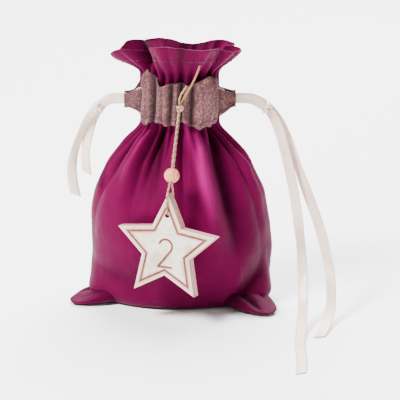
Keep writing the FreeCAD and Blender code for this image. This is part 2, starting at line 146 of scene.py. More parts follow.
def give_painted_shading(piece: bpy.types.Object, values: np.ndarray) -> None:
    """Writes painted shading at each vertex: above 0 paints shade, below 0 paints a highlight."""
    attribute = piece.data.attributes.new("tone", "FLOAT", "POINT")
    attribute.data.foreach_set("value", values)


def dress(piece: bpy.types.Object, *materials: bpy.types.Material) -> None:
    """Gives piece these materials and smooth shading."""
    piece.data.materials.clear()
    for material in materials:
        piece.data.materials.append(material)
    if piece.type == "MESH":
        piece.data.polygons.foreach_set("use_smooth", [True] * len(piece.data.polygons))


def join(pieces: Sequence[bpy.types.Object], name: str) -> bpy.types.Object:
    """Joins pieces into one mesh object.

    Args:
        pieces: Mesh objects; the first one keeps its materials' order.
        name: The joined object's name.

    Returns:
        The joined object.
    """
    activate(pieces[0])
    for piece in pieces[1:]:
        piece.select_set(True)
    if len(pieces) > 1:
        bpy.ops.object.join()
    whole = bpy.context.object
    whole.name = name
    return whole


def wavy_noise(places: np.ndarray, pitch: float, seed: float, octaves: int = 2) -> np.ndarray:
    """Returns smooth noise, about -1 to 1, at each place.

    Args:
        places: One row per point, in metres.
        pitch: The size of the largest bumps, in metres.
        seed: An offset that picks another stretch of the noise.
        octaves: How many finer layers are added, each of half the size and height.

    Returns:
        One value per point.
    """
    shift = Vector((seed, seed * 1.7, seed * 0.6))
    total = np.zeros(len(places))
    for octave in range(octaves):
        scale = 2**octave / pitch
        layer = [noise.noise(Vector(p) * scale + shift) for p in places]
        total += np.array(layer) / 2**octave
    return total


def grid_piece(
    name: str,
    columns: int,
    rows: int,
    shape: Callable[[np.ndarray, np.ndarray], np.ndarray],
    flat: tuple[float, float],
    merge: float = 0.00001,
    tone: Callable[[np.ndarray, np.ndarray], np.ndarray] | None = None,
) -> bpy.types.Object:
    """Makes a surface by shaping a grid primitive.

    Args:
        name: The piece's name.
        columns: Faces across.
        rows: Faces along.
        shape: Gives a place, in metres, for each pair of shares across and along.
        flat: The cloth's real size, for its UV map.
        merge: Points closer than this become one, so closed ends and poles have no slivers.
        tone: Gives painted shading, shade above 0 and highlight below 0, for each pair of shares.

    Returns:
        The shaped piece.
    """
    deselect()
    bpy.ops.mesh.primitive_grid_add(x_subdivisions=columns, y_subdivisions=rows, size=2)
    piece = bpy.context.object
    piece.name = name
    shares = (coordinates(piece)[:, :2] + 1) / 2
    place_vertices(piece, shape(shares[:, 0], shares[:, 1]))
    if tone is not None:
        give_painted_shading(piece, tone(shares[:, 0], shares[:, 1]))
    scale_uv(piece, flat)
    edit_whole(piece, lambda: bpy.ops.mesh.remove_doubles(threshold=merge))
    return piece


def close_ends(piece: bpy.types.Object) -> None:
    """Fills the open rims of piece and turns its faces outwards."""
    edit_whole(piece, lambda: bpy.ops.mesh.fill_holes(sides=0), face_outwards)


def give_wall(piece: bpy.types.Object, thickness: float, offset: float = -1.0) -> None:
    """Gives a sheet its thickness with an applied Solidify."""
    modifier = piece.modifiers.new("wall", "SOLIDIFY")
    modifier.thickness = thickness
    modifier.offset = offset
    modifier.use_quality_normals = True
    apply_all(piece)


# ---------------------------------------------------------------- cords and ribbons
@dataclass(frozen=True)
class Line:
    """A path of even steps with a direction, a width way and a face way at each point."""

    places: np.ndarray
    along: np.ndarray
    across: np.ndarray

    @property
    def length(self) -> float:
        """The path's length in metres."""
        return float(np.linalg.norm(np.diff(self.places, axis=0), axis=1).sum())

    @property
    def facing(self) -> np.ndarray:
        """The way that a ribbon's face looks at each point."""
        return np.cross(self.along, self.across)

    def turned(self, angles: np.ndarray) -> "Line":
        """Returns the line with its width way turned about its direction by these angles."""
        across = (
            self.across * np.cos(angles)[:, None] + self.facing * np.sin(angles)[:, None]
        )
        return Line(self.places, self.along, across)

    def at(self, share: np.ndarray, side: np.ndarray, out: np.ndarray) -> np.ndarray:
        """Returns places at a share of the length, moved to the side and out of the face."""
        index = np.clip(share, 0, 1) * (len(self.places) - 1)
        low = np.minimum(index.astype(int), len(self.places) - 2)
        rest = (index - low)[:, None]

        def pick(values: np.ndarray) -> np.ndarray:
            """Returns values read between the two nearest points."""
            return values[low] * (1 - rest) + values[low + 1] * rest

        return pick(self.places) + pick(self.across) * side[:, None] + pick(self.facing) * out[:, None]


def follow(places: np.ndarray, first_across: Sequence[float], step: float) -> Line:
    """Steps evenly along a path and carries a width way along it without twist.

    Args:
        places: The path's points, in metres.
        first_across: The width way at its start.
        step: The distance between the new points.

    Returns:
        The line.
    """
    runs = np.linalg.norm(np.diff(places, axis=0), axis=1)
    lengths = np.concatenate([[0], np.cumsum(runs)])
    count = max(int(lengths[-1] / step), 8)
    even = np.linspace(0, lengths[-1], count + 1)
    even_places = np.stack([np.interp(even, lengths, places[:, k]) for k in range(3)], axis=1)
    along = np.gradient(even_places, axis=0)
    along /= np.linalg.norm(along, axis=1)[:, None]
    across = np.zeros_like(along)
    way = np.array(first_across, float)
    for index, direction in enumerate(along):
        way = way - direction * way.dot(direction)
        way /= np.linalg.norm(way)
        across[index] = way
    return Line(even_places, along, across)


def spline(points: Iterable[Sequence[float]]) -> np.ndarray:
    """Returns the points, in metres, of a smooth NURBS line with these control points in mm."""
    controls = [Vector(p) * MM for p in points]
    curve = bpy.data.curves.new("route", "CURVE")
    curve.dimensions = "3D"
    line = curve.splines.new("NURBS")
    line.points.add(len(controls) - 1)
    for point, place in zip(line.points, controls):
        point.co = (*place, 1)
    line.use_endpoint_u = True
    line.order_u = 3
    line.resolution_u = 24
    holder = bpy.data.objects.new("route", curve)
    bpy.context.scene.collection.objects.link(holder)
    bpy.context.view_layer.update()
    mesh = bpy.data.meshes.new_from_object(holder)
    places = np.array([v.co for v in mesh.vertices], float)
    bpy.data.objects.remove(holder)
    bpy.data.meshes.remove(mesh)
    return places


def tube(name: str, line: Line, radius: float | np.ndarray, sides: int = 8) -> bpy.types.Object:
    """Makes a closed round tube along a line.

    Args:
        name: The piece's name.
        line: What the tube follows.
        radius: One radius, or one for each of the line's points.
        sides: Faces round it.

    Returns:
        The tube.
    """
    radii = np.broadcast_to(radius, len(line.places))

    def shape(across: np.ndarray, along: np.ndarray) -> np.ndarray:
        """Returns a place for each pair of shares across and along."""
        angle = across * math.tau
        here = np.interp(along * (len(radii) - 1), np.arange(len(radii)), radii)
        return line.at(along, np.cos(angle) * here, np.sin(angle) * here)

    flat = (math.tau * float(np.mean(radii)), line.length)
    piece = grid_piece(name, sides, len(line.places) - 1, shape, flat, merge=0.000004)
    close_ends(piece)
    return piece


# ---------------------------------------------------------------- finishes
def tint(red: float, green: float, blue: float) -> tuple[float, float, float, float]:
    """Returns a screen colour of 0 to 255 as the linear colour that a shader takes."""

    def linear(value: float) -> float:
        """Returns one screen value as a linear one."""
        value /= 255
        return value / 12.92 if value <= 0.04045 else ((value + 0.055) / 1.055) ** 2.4

    return linear(red), linear(green), linear(blue), 1.0


class Bench:
    """Builds the nodes of one material round its surface shader."""

    def __init__(self, name: str, **constants: float | tuple) -> None:
        """Starts a material.

        Args:
            name: The material's name.
            constants: Values set on the shader's own sockets, with _ for each space.
        """
        self.material = bpy.data.materials.new(name)
        self.material.use_nodes = True
        self.nodes = self.material.node_tree.nodes
        self.links = self.material.node_tree.links
        self.shader = self.nodes["Principled BSDF"]
        for key, value in constants.items():
            self.shader.inputs[key.replace("_", " ")].default_value = value

    def add(self, kind: str, wires: dict | None = None, **settings: object) -> bpy.types.Node:
        """Adds a node.

        Args:
            kind: Blender's type name without its ShaderNode start.
            wires: For each input, by name or number, another node's output or a value.
            settings: The node's own properties.

        Returns:
            The node.
        """
        node = self.nodes.new("ShaderNode" + kind)
        for key, value in settings.items():
            setattr(node, key, value)
        for key, value in (wires or {}).items():
            self.wire(value, node.inputs[key])
        return node

    def wire(self, value: object, socket: bpy.types.NodeSocket) -> None:
        """Links an output to a socket, or sets the socket to a value."""
        if isinstance(value, bpy.types.NodeSocket):
            self.links.new(value, socket)
        else:
            socket.default_value = value

    def maths(self, operation: str, *values: object) -> bpy.types.NodeSocket:
        """Returns the output of a Math node."""
        wires = dict(enumerate(values))
        return self.add("Math", wires, operation=operation).outputs[0]

    def times(self, *values: object) -> bpy.types.NodeSocket:
        """Returns two values' product."""
        return self.maths("MULTIPLY", *values)

    def plus(self, *values: object) -> bpy.types.NodeSocket:
        """Returns two values' sum."""
        return self.maths("ADD", *values)

    def minus(self, *values: object) -> bpy.types.NodeSocket:
        """Returns the first value less the second."""
        return self.maths("SUBTRACT", *values)

    def scaled(self, *values: object) -> bpy.types.NodeSocket:
        """Returns the first value times the second, plus the third."""
        return self.maths("MULTIPLY_ADD", *values)

    def sine(self, value: object) -> bpy.types.NodeSocket:
        """Returns a value's sine."""
        return self.maths("SINE", value)

    def size(self, value: object) -> bpy.types.NodeSocket:
        """Returns a value without its sign."""
        return self.maths("ABSOLUTE", value)

    def tone(self) -> bpy.types.NodeSocket:
        """Returns the mesh's painted shading: above 0 paints shade, below 0 paints a highlight."""
        return self.add("Attribute", attribute_name="tone").outputs["Fac"]

    def grid(self, across: object, along: object, turn: float) -> bpy.types.NodeSocket:
        """Returns the crossing waves of a plain weave, with turn radians to the metre."""
        warp = self.sine(self.times(across, turn))
        return self.times(warp, self.sine(self.times(along, turn)))

    def vector(self, operation: str, *values: object) -> bpy.types.NodeSocket:
        """Returns the output of a Vector Math node, its number where it gives one."""
        node = self.add("VectorMath", dict(enumerate(values)), operation=operation)
        return node.outputs["Value" if operation in ("DOT_PRODUCT", "LENGTH") else "Vector"]

    def mix(self, share: object, first: object, second: object) -> bpy.types.NodeSocket:
        """Returns a colour between two, by share."""
        node = self.nodes.new("ShaderNodeMix")
        node.data_type = "RGBA"
        for value, socket in zip((share, first, second), (0, 6, 7)):
            self.wire(value, node.inputs[socket])
        return node.outputs[2]

    def noise(self, vector: object, scale: float, detail: float = 2.0) -> bpy.types.NodeSocket:
        """Returns noise of 0 to 1 at a scale per metre."""
        wires = {"Vector": vector, "Scale": scale, "Detail": detail}
        return self.add("TexNoise", wires).outputs[0]

    def step(self, value: object, low: float, high: float) -> bpy.types.NodeSocket:
        """Returns 0 below low, 1 above high and a smooth rise between them."""
        wires = {"Value": value, "From Min": low, "From Max": high}
        return self.add("MapRange", wires, interpolation_type="SMOOTHSTEP").outputs[0]

    def place(self, kind: str = "Object") -> bpy.types.NodeSocket:
        """Returns the Object or UV coordinates."""
        return self.add("TexCoord").outputs[kind]

    def split(self, vector: object) -> tuple[bpy.types.NodeSocket, ...]:
        """Returns a vector's three numbers."""
        return tuple(self.add("SeparateXYZ", {0: vector}).outputs)

    def bump(self, *layers: tuple[object, float, float]) -> None:
        """Gives the shader bumps from layers of height, strength and depth in metres."""
        normal = None
        for height, strength, depth in layers:
            wires = {"Height": height, "Strength": strength, "Distance": depth}
            node = self.add("Bump", wires)
            if normal is not None:
                self.wire(normal, node.inputs["Normal"])
            normal = node.outputs[0]
        self.wire(normal, self.shader.inputs["Normal"])

    def finish(self, colour: object, roughness: object) -> bpy.types.Material:
        """Wires the colour and roughness, and returns the material."""
        self.wire(colour, self.shader.inputs["Base Color"])
        self.wire(roughness, self.shader.inputs["Roughness"])
        return self.material


@dataclass(frozen=True)
class PlainWeave:
    """Fine cotton in one dyed colour, with painted shade in its folds and painted highlight on its
    ridges.
    """

    name: str = "magenta_cotton"
    colour: tuple = tint(90, 3, 52)
    deep: tuple = tint(72, 2, 40)
    # painted shade colour laid into folds
    fold: tuple = tint(40, 1, 20)
    # painted highlight colour laid onto ridges
    ridge_highlight: tuple = tint(150, 14, 100)
    bloom: tuple = tint(236, 120, 196)
    shine: tuple = tint(255, 70, 170)
    pitch: float = 0.00055

    def make(self) -> bpy.types.Material:
        """Returns the material, with its threads in the UV map's real size."""
        bench = Bench(
            self.name, Sheen_Weight=0.03, Sheen_Roughness=0.4, Sheen_Tint=self.bloom,
            Specular_IOR_Level=0.16, Specular_Tint=self.shine,
        )
        cloth = bench.place("UV")
        across, along, _ = bench.split(cloth)
        weave = bench.grid(across, along, math.tau / self.pitch)
        slubs = bench.noise(bench.vector("MULTIPLY", cloth, (1, 0.06, 1)), 900, 2)
        slubs_across = bench.noise(bench.vector("MULTIPLY", cloth, (0.06, 1, 1)), 1000, 2)
        patches = bench.noise(bench.place(), 26, 3)
        share = bench.scaled(bench.plus(slubs, slubs_across), 0.12, 0.05)
        share = bench.plus(share, bench.times(patches, 0.6))
        colour = bench.mix(bench.step(share, 0.1, 0.95), self.colour, self.deep)
        tone = bench.tone()
        # painted shade in folds and low down, then painted highlight on ridges
        colour = bench.mix(bench.step(tone, 0.0, 1.1), colour, self.fold)
        colour = bench.mix(bench.step(tone, 0.05, -0.6), colour, self.ridge_highlight)
        rough = bench.scaled(patches, 0.14, 0.5)
        threads = bench.plus(slubs, slubs_across)
        crumple = bench.noise(bench.place(), 210, 3)
        bench.bump((crumple, 0.3, 0.0009), (threads, 0.12, 0.00012), (weave, 0.3, 0.00007))
        return bench.finish(colour, rough)


@dataclass(frozen=True)
class GlitterWeave:
    """Coarse taupe casing cloth with a metallic thread, and painted shade in its pleats."""

    name: str = "taupe_glitter_weave"
    colour: tuple = tint(106, 56, 64)
    deep: tuple = tint(54, 20, 32)
    fleck: tuple = tint(184, 132, 96)
    # painted shade colour laid into the band's pleats
    pleat_shade: tuple = tint(34, 12, 20)
    pitch: float = 0.0007

    def make(self) -> bpy.types.Material:
        """Returns the material, with its weave in the UV map's real size."""
        bench = Bench(self.name, Sheen_Weight=0.1, Sheen_Tint=tint(230, 190, 190))
        cloth = bench.place("UV")
        wobble = bench.vector("MULTIPLY", bench.noise(cloth, 520, 3), (0.0012, 0.0012, 0))
        across, along, _ = bench.split(bench.vector("ADD", cloth, wobble))
        weave = bench.size(bench.grid(across, along, math.pi / self.pitch))
        knots = bench.add(
            "TexVoronoi", {"Vector": cloth, "Scale": 1500.0, "Randomness": 1.0}, feature="F1"
        )
        chance = bench.split(knots.outputs["Color"])[0]
        flecks = bench.maths(
            "MULTIPLY", bench.step(chance, 0.7, 0.84), bench.step(weave, 0.15, 0.5)
        )
        patches = bench.noise(bench.place(), 160, 3)
        ground = bench.mix(bench.step(weave, 0.05, 0.6), self.deep, self.colour)
        ground = bench.mix(
            bench.times(bench.step(patches, 0.35, 0.7), 0.35), ground, self.deep
        )
        colour = bench.mix(bench.times(flecks, 0.85), ground, self.fleck)
        tone = bench.tone()
        # painted shade in the pleats
        colour = bench.mix(bench.step(tone, 0.05, 1.25), colour, self.pleat_shade)
        bench.wire(bench.times(flecks, 0.55), bench.shader.inputs["Metallic"])
        rough = bench.scaled(flecks, -0.38, 0.72)
        bench.bump((patches, 0.4, 0.0006), (weave, 0.75, 0.0003))
        return bench.finish(colour, rough)


@dataclass(frozen=True)
class Satin:
    """Cream satin ribbon with a woven edge."""

    name: str = "cream_satin"
    colour: tuple = tint(240, 222, 208)
    blush: tuple = tint(222, 182, 170)
    width: float = 0.006

    def make(self) -> bpy.types.Material:
        """Returns the material; the UV map runs across and along the ribbon."""
        bench = Bench(
            self.name, Sheen_Weight=0.3, Sheen_Tint=tint(255, 240, 230), Anisotropic=0.35,
            Specular_IOR_Level=0.6, Coat_Weight=0.12, Coat_Roughness=0.3,
        )
        cloth = bench.place("UV")
        across, along, _ = bench.split(cloth)
        centre = bench.size(bench.minus(across, self.width / 2))
        edge = bench.step(centre, self.width * 0.4, self.width * 0.47)
        threads = bench.noise(bench.vector("MULTIPLY", cloth, (1, 0.04, 1)), 5200, 2)
        ribs = bench.sine(bench.times(along, math.tau / 0.0005))
        patches = bench.noise(bench.place(), 45, 3)
        colour = bench.mix(bench.step(patches, 0.35, 0.75), self.colour, self.blush)
        colour = bench.mix(bench.times(threads, 0.22), colour, self.blush)
        colour = bench.mix(bench.times(edge, 0.45), colour, self.blush)
        rough = bench.scaled(threads, 0.16, 0.26)
        creases = bench.noise(bench.place(), 240, 2)
        bench.bump((creases, 0.35, 0.0007), (threads, 0.25, 0.00012), (ribs, 0.25, 0.00004),
                   (edge, 0.5, 0.0001))
        return bench.finish(colour, rough)


@dataclass(frozen=True)
class Strand:
    """A twisted yarn in one colour."""

    name: str
    colour: tuple
    deep: tuple
    shine: float = 0.0
    bloom: float = 0.25

    def make(self) -> bpy.types.Material:
        """Returns the material; its fibres slant across the UV map."""
        bench = Bench(
            self.name, Sheen_Weight=self.bloom, Sheen_Tint=tint(255, 235, 215),
            Metallic=self.shine
        )
        cloth = bench.place("UV")
        across, along, _ = bench.split(cloth)
        slant = bench.plus(bench.times(across, 2.2), along)
        fibres = bench.sine(bench.times(slant, math.tau / 0.00045))
        fuzz = bench.noise(bench.place(), 2600, 3)
        share = bench.scaled(fibres, -0.3, bench.times(fuzz, 0.8))
        colour = bench.mix(bench.step(share, 0.0, 0.8), self.colour, self.deep)
        rough = bench.scaled(fuzz, 0.25, 0.42 - 0.15 * self.shine)
        bench.bump((fibres, 0.6, 0.00012), (fuzz, 0.4, 0.00012))
        return bench.finish(colour, rough)


@dataclass(frozen=True)
class TurnedBeech:
    """Pale turned wood of the bead, with its grain across the bore."""

    name: str = "turned_beech"
    colour: tuple = tint(228, 148, 102)
    deep: tuple = tint(190, 104, 66)
    along: tuple = (0.1123, 0.43101, 0.89533)

    def make(self) -> bpy.types.Material:
        """Returns the material."""
        bench = Bench(self.name, Coat_Weight=0.15, Coat_Roughness=0.35)
        place = bench.place()
        wobble = bench.noise(place, 130, 2)
        depth = bench.vector("DOT_PRODUCT", place, (0.86, -0.42, 0.1))
        rings = bench.plus(depth, bench.times(wobble, 0.0022))
        grain = bench.sine(bench.times(rings, math.tau / 0.0013))
        pores = bench.noise(bench.vector("MULTIPLY", place, (5, 5, 1)), 900, 2)
        share = bench.scaled(grain, 0.3, bench.times(pores, 0.7))
        colour = bench.mix(bench.step(share, 0.05, 0.85), self.colour, self.deep)
        rough = bench.scaled(pores, 0.25, 0.36)
        bench.bump((grain, 0.15, 0.00008), (pores, 0.35, 0.0001))
        return bench.finish(colour, rough)


@dataclass(frozen=True)
class PaintedStar:
    """White paint on a sawn wooden star: brown grooves and bare, sawn sides."""

    centre: Vector
    out: Vector
    thick: float
    name: str = "painted_star"
    paint: tuple = tint(226, 216, 202)
    worn: tuple = tint(194, 172, 156)
    burnt: tuple = tint(140, 80, 62)
    dark: tuple = tint(100, 52, 40)
    wood: tuple = tint(202, 152, 138)
    wood_deep: tuple = tint(150, 98, 86)
    rim: tuple = tint(218, 184, 172)
    scorch: tuple = tint(176, 118, 98)
    across: Vector = Vector((0.9205, -0.3907, 0))
    up: Vector = Vector((0.0476, 0.1122, 0.9925))
    tip: float = 33 * MM
    notch: float = 16 * MM
    line_inset: float = 2.95 * MM
    halo: float = 2.8 * MM

    def inset(self, bench: Bench, local: bpy.types.NodeSocket) -> bpy.types.NodeSocket:
        """Returns how far inside the star's outline a place on its face lies."""
        x = bench.vector("DOT_PRODUCT", local, tuple(self.across))
        y = bench.vector("DOT_PRODUCT", local, tuple(self.up))
        angle = bench.maths("ARCTAN2", x, y)
        fifth = math.tau / 5
        angle = bench.maths("PINGPONG", angle, fifth / 2)
        reach = bench.maths("SQRT", bench.plus(bench.maths("POWER", x, 2.0),
                                                bench.maths("POWER", y, 2.0)))
        along = bench.times(reach, bench.maths("COSINE", angle))
        aside = bench.times(reach, bench.sine(angle))
        corner = Vector((self.notch * math.cos(fifth / 2), self.notch * math.sin(fifth / 2)))
        edge = (corner - Vector((self.tip, 0))).normalized()
        normal = Vector((edge.y, -edge.x))
        limit = normal.x * self.tip
        level = bench.plus(bench.times(along, normal.x),
                            bench.times(aside, normal.y))
        return bench.minus(limit, level)

    def make(self) -> bpy.types.Material:
        """Returns the material, which tells faces, grooves and sides apart by depth."""
        bench = Bench(self.name, Specular_IOR_Level=0.4)
        place = bench.place()
        local = bench.vector("SUBTRACT", place, tuple(self.centre))
        depth = bench.vector("DOT_PRODUCT", local, tuple(self.out))
        normal = bench.place("Normal")
        flat = bench.size(bench.vector("DOT_PRODUCT", normal, tuple(self.out)))
        grain = bench.noise(bench.vector("MULTIPLY", place, (0.25, 0.25, 3)), 420, 3)
        layers = bench.noise(bench.vector("MULTIPLY", local, (1, 1, 0.2)), 1300, 2)
        patches = bench.noise(place, 90, 4)
        chips = bench.noise(place, 700, 3)
        side = bench.minus(1.0, bench.step(flat, 0.35, 0.62))
        sunk = bench.size(depth)
        sunk = bench.minus(1.0, bench.step(sunk, self.thick / 2 - 0.0005,
                                                       self.thick / 2 - 0.00012))
        paint = bench.mix(bench.step(patches, 0.42, 0.68), self.paint, self.worn)
        paint = bench.mix(
            bench.times(bench.step(grain, 0.5, 0.75), 0.28), paint, self.worn
        )
        paint = bench.mix(
            bench.times(bench.step(chips, 0.6, 0.68), 0.5), paint, self.wood
        )
        inset = self.inset(bench, local)
        rim = bench.step(inset, self.line_inset + 0.0002, self.line_inset - 0.0004)
        paint = bench.mix(bench.times(rim, 0.75), paint, self.rim)
        gap = bench.size(bench.minus(inset, self.line_inset))
        wander = bench.times(patches, self.halo * 1.6)
        near = bench.minus(1.0, bench.step(gap, 0.0006, wander))
        paint = bench.mix(bench.times(near, 0.55), paint, self.scorch)
        groove = bench.mix(bench.step(chips, 0.35, 0.7), self.burnt, self.dark)
        wood = bench.mix(bench.step(layers, 0.35, 0.7), self.wood, self.wood_deep)
        wood = bench.mix(
            bench.times(bench.step(chips, 0.55, 0.7), 0.3), wood, self.paint
        )
        colour = bench.mix(sunk, paint, groove)
        colour = bench.mix(side, colour, wood)
        rough = bench.scaled(chips, 0.3, 0.42)
        bench.bump((grain, 0.3, 0.0003), (chips, 0.25, 0.00015))
        return bench.finish(colour, rough)


@dataclass(frozen=True)
class StudioPaper:
    """Smooth white paper under and behind the sack."""

    name: str = "studio_paper"
    colour: tuple = tint(251, 251, 252)

    def make(self) -> bpy.types.Material:
        """Returns the material."""
        bench = Bench(self.name)
        # a faint random mottle in the paper's own colour
        tone = bench.noise(bench.place(), 9, 3)
        colour = bench.mix(bench.times(tone, 0.3), self.colour, tint(246, 246, 247))
        bench.bump((bench.noise(bench.place(), 1800, 2), 0.05, 0.0001))
        return bench.finish(colour, 0.75)


# ---------------------------------------------------------------- the sack's surface
@dataclass(frozen=True)
class Gather:
    """One gather of the drawn neck, in degrees and mm.

    Angles go round from the middle of the front, rising towards +X.
    """

    angle: float
    depth: float
    width: float = 5.0
    down: float = 26.0
    drift: float = 0.0
    up: float = 0.6


@dataclass(frozen=True)
class Crease:
    """A fold across one wall: points of x, z, depth and half width in mm.

    A negative depth raises a crest. Lean above 0 makes the flank towards the line's left wider.
    """

    side: Side
    points: tuple[tuple[float, float, float, float], ...]
    lean: float = 0.0


@dataclass
class SackForm:
    """The drawn sack's surface as a function of angle and height, all in mm and degrees."""

    levels: tuple[tuple[float, float, float], ...] = (
        (8, 51.5, 30), (34, 54, 33), (62, 52, 31), (86, 43, 25), (101, 31.5, 18.5),
        (112, 24.5, 15), (140, 24.5, 15), (149, 31, 21.5), (158, 38, 28),
    )
    foot: tuple[float, float, float] = (8, 46, 26)
    neck: tuple[float, float] = (112, 140)
    top: float = 158
    gathers: tuple[Gather, ...] = (
        Gather(-84, 3.2, 5.0, 26, -2, 0.5), Gather(-67, 4.4, 4.6, 46, -7, 0.8),
        Gather(-51, 3.4, 4.2, 24, -4, 0.5), Gather(-38, 5.0, 4.6, 40, 4, 0.9),
        Gather(-24, 4.4, 4.0, 30, -6, 0.5), Gather(-11, 4.0, 3.8, 30, -3, 0.9),
        Gather(2, 5.4, 4.2, 52, 1, 1.0), Gather(17, 3.6, 4.0, 20, 2, 0.4),
        Gather(31, 4.2, 4.2, 26, -4, 0.5), Gather(47, 5.0, 4.4, 24, -5, 0.7),
        Gather(62, 4.8, 4.6, 50, 3, 0.9), Gather(77, 3.8, 4.6, 34, 3, 0.5),
        Gather(95, 3.4, 5.0, 24, 3, 0.7), Gather(109, 4.6, 4.6, 44, 6, 0.9),
        Gather(124, 3.6, 4.2, 26, -3, 0.5), Gather(138, 5.0, 4.6, 56, 4, 0.8),
        Gather(152, 3.8, 4.0, 24, -2, 0.6), Gather(166, 4.6, 4.4, 36, -3, 0.9),
        Gather(181, 4.0, 4.2, 30, 3, 0.5), Gather(195, 5.0, 4.4, 52, 3, 0.9),
        Gather(209, 3.8, 4.2, 24, 2, 0.5), Gather(224, 4.8, 4.6, 38, -5, 0.9),
        Gather(239, 3.6, 4.4, 22, 2, 0.6), Gather(254, 4.4, 4.8, 40, -4, 0.8),
    )
    creases: tuple[Crease, ...] = (
        Crease(Side.FRONT, ((19, 114, 3.0, 2.4), (21, 102, 9.0, 4.2), (25.5, 86, 11.0, 6.0),
                            (30, 68, 9.5, 7.0), (33.5, 50, 6.0, 8.0), (35, 32, 1.2, 10)), 0.3),
        Crease(Side.FRONT, ((6, 112, -1.0, 4), (11, 98, -4.4, 5.5), (14, 82, -5.0, 7),
                            (19, 62, -3.6, 9), (22, 42, -0.8, 12))),
        Crease(Side.FRONT, ((-9, 114, 2.0, 2.4), (-12, 103, 7.4, 5.0), (-15, 90, 8.0, 7.0),
                            (-17, 76, 4.8, 8.5), (-18, 60, 0.6, 10)), -0.25),
        Crease(Side.FRONT, ((-14, 113, -0.6, 3), (-23, 102, -4.0, 3.4), (-31, 90, -3.6, 5),
                            (-37, 74, -0.8, 7))),
        Crease(Side.FRONT, ((-21, 113, 1.8, 2.2), (-31, 99, 5.0, 3.6), (-39, 86, 3.6, 5.5),
                            (-44, 70, 0.6, 8)), -0.15),
        Crease(Side.FRONT, ((40, 104, -0.6, 4), (42, 90, -2.6, 5), (44, 72, -1.6, 7),
                            (45, 54, -0.2, 8))),
        Crease(Side.FRONT, ((2, 108, 0.6, 3), (5, 94, 1.8, 5), (9, 80, 2.2, 7),
                            (12, 64, 1.4, 9), (14, 44, 0.1, 11)), -0.3),
        Crease(Side.FRONT, ((30, 3, 1.0, 3), (38, 11, 4.0, 4), (45, 19, 4.4, 5),
                            (50, 30, 2.4, 7), (52, 44, 0.4, 9)), 0.2),
        Crease(Side.FRONT, ((24, 6, -0.4, 6), (31, 16, -2.4, 7), (37, 28, -1.6, 9))),
        Crease(Side.FRONT, ((-52, 26, 0.4, 6), (-38, 19, 2.2, 5), (-20, 16, 1.2, 7),
                            (-6, 18, 0.2, 8))),
        Crease(Side.BACK, ((-12, 113, 2.4, 3), (-16, 96, 5.0, 5), (-24, 76, 3.4, 7),
                           (-30, 54, 0.8, 9)), 0.2),
        Crease(Side.BACK, ((14, 112, 2.0, 3), (19, 94, 4.4, 5), (22, 70, 3.0, 8),
                           (20, 48, 0.6, 10)), -0.2),
        Crease(Side.BACK, ((2, 104, -0.6, 6), (0, 84, -1.6, 11), (-4, 62, -0.8, 14))),
        Crease(Side.BACK, ((-46, 12, 2.0, 5), (-30, 22, 2.2, 6), (-10, 24, 0.4, 9))),
        Crease(Side.BACK, ((50, 16, 2.2, 5), (36, 26, 2.0, 7), (18, 28, 0.4, 9))),
    )
    hollow: tuple[float, float, float] = (-50, 14.5, 10)
    roots: tuple[tuple[float, float, float], ...] = ((64, 8.0, 19), (-78, 5.5, 15))
    rest_puff: float = 1.3
    heights: np.ndarray = field(init=False)
    slopes: np.ndarray = field(init=False)

    def __post_init__(self) -> None:
        """Works out slopes that keep the levels' spline from overshooting."""
        table = np.array(self.levels, float)
        self.heights = table[:, 0]
        runs = np.diff(table[:, 1:], axis=0) / np.diff(self.heights)[:, None]
        before, after = runs[:-1], runs[1:]
        product = before * after
        middle = np.where(product > 0, 2 * product / (before + after + 1e-12), 0)
        first = np.zeros((1, 2))
        self.slopes = np.concatenate([first, middle, runs[-1:]])

    def half_sizes(self, height: np.ndarray) -> tuple[np.ndarray, np.ndarray]:
        """Returns the half width and half depth, without folds, at each height."""
        table = np.array(self.levels, float)[:, 1:]
        place = np.clip(height, self.heights[0], self.heights[-1])
        index = np.clip(np.searchsorted(self.heights, place, side="right") - 1, 0,
                        len(self.heights) - 2)
        gap = (self.heights[index + 1] - self.heights[index])[:, None]
        share = (place - self.heights[index])[:, None] / gap
        cube, square = share**3, share**2
        result = (
            (2 * cube - 3 * square + 1) * table[index]
            + (cube - 2 * square + share) * gap * self.slopes[index]
            + (3 * square - 2 * cube) * table[index + 1]
            + (cube - square) * gap * self.slopes[index + 1]
        )
        tall, wide, deep = self.foot
        curve = np.sqrt(np.clip(1 - (1 - np.clip(height / tall, 0, 1)) ** 2, 0, 1))
        foot = np.array([wide, deep]) + curve[:, None] * (table[0] - [wide, deep])
        result = np.where((height < tall)[:, None], foot, result)
        return result[:, 0], result[:, 1]

    def gathered(self, angle: np.ndarray, height: np.ndarray) -> np.ndarray:
        """Returns how deep the gathers press the cloth in at each place."""
        low, high = self.neck
        below = np.clip(low - height, 0, None)
        above = np.clip(height - high, 0, None) / (self.top - high)
        total = np.zeros_like(angle)
        for gather in self.gathers:
            centre = gather.angle + gather.drift * below / 60
            gap = wrapped(angle - centre)
            width = gather.width * (1 + 0.55 * below / 40 + 0.8 * above)
            swell = 1 + 1.3 * below / 22 * np.exp(-below / 26)
            fall = swell * np.exp(-((below / gather.down) ** 1.7))
            rise = 1 + (gather.up - 1) * smoothstep(above)
            total += gather.depth * fall * rise * bell(gap / width, 1.45)
        return total

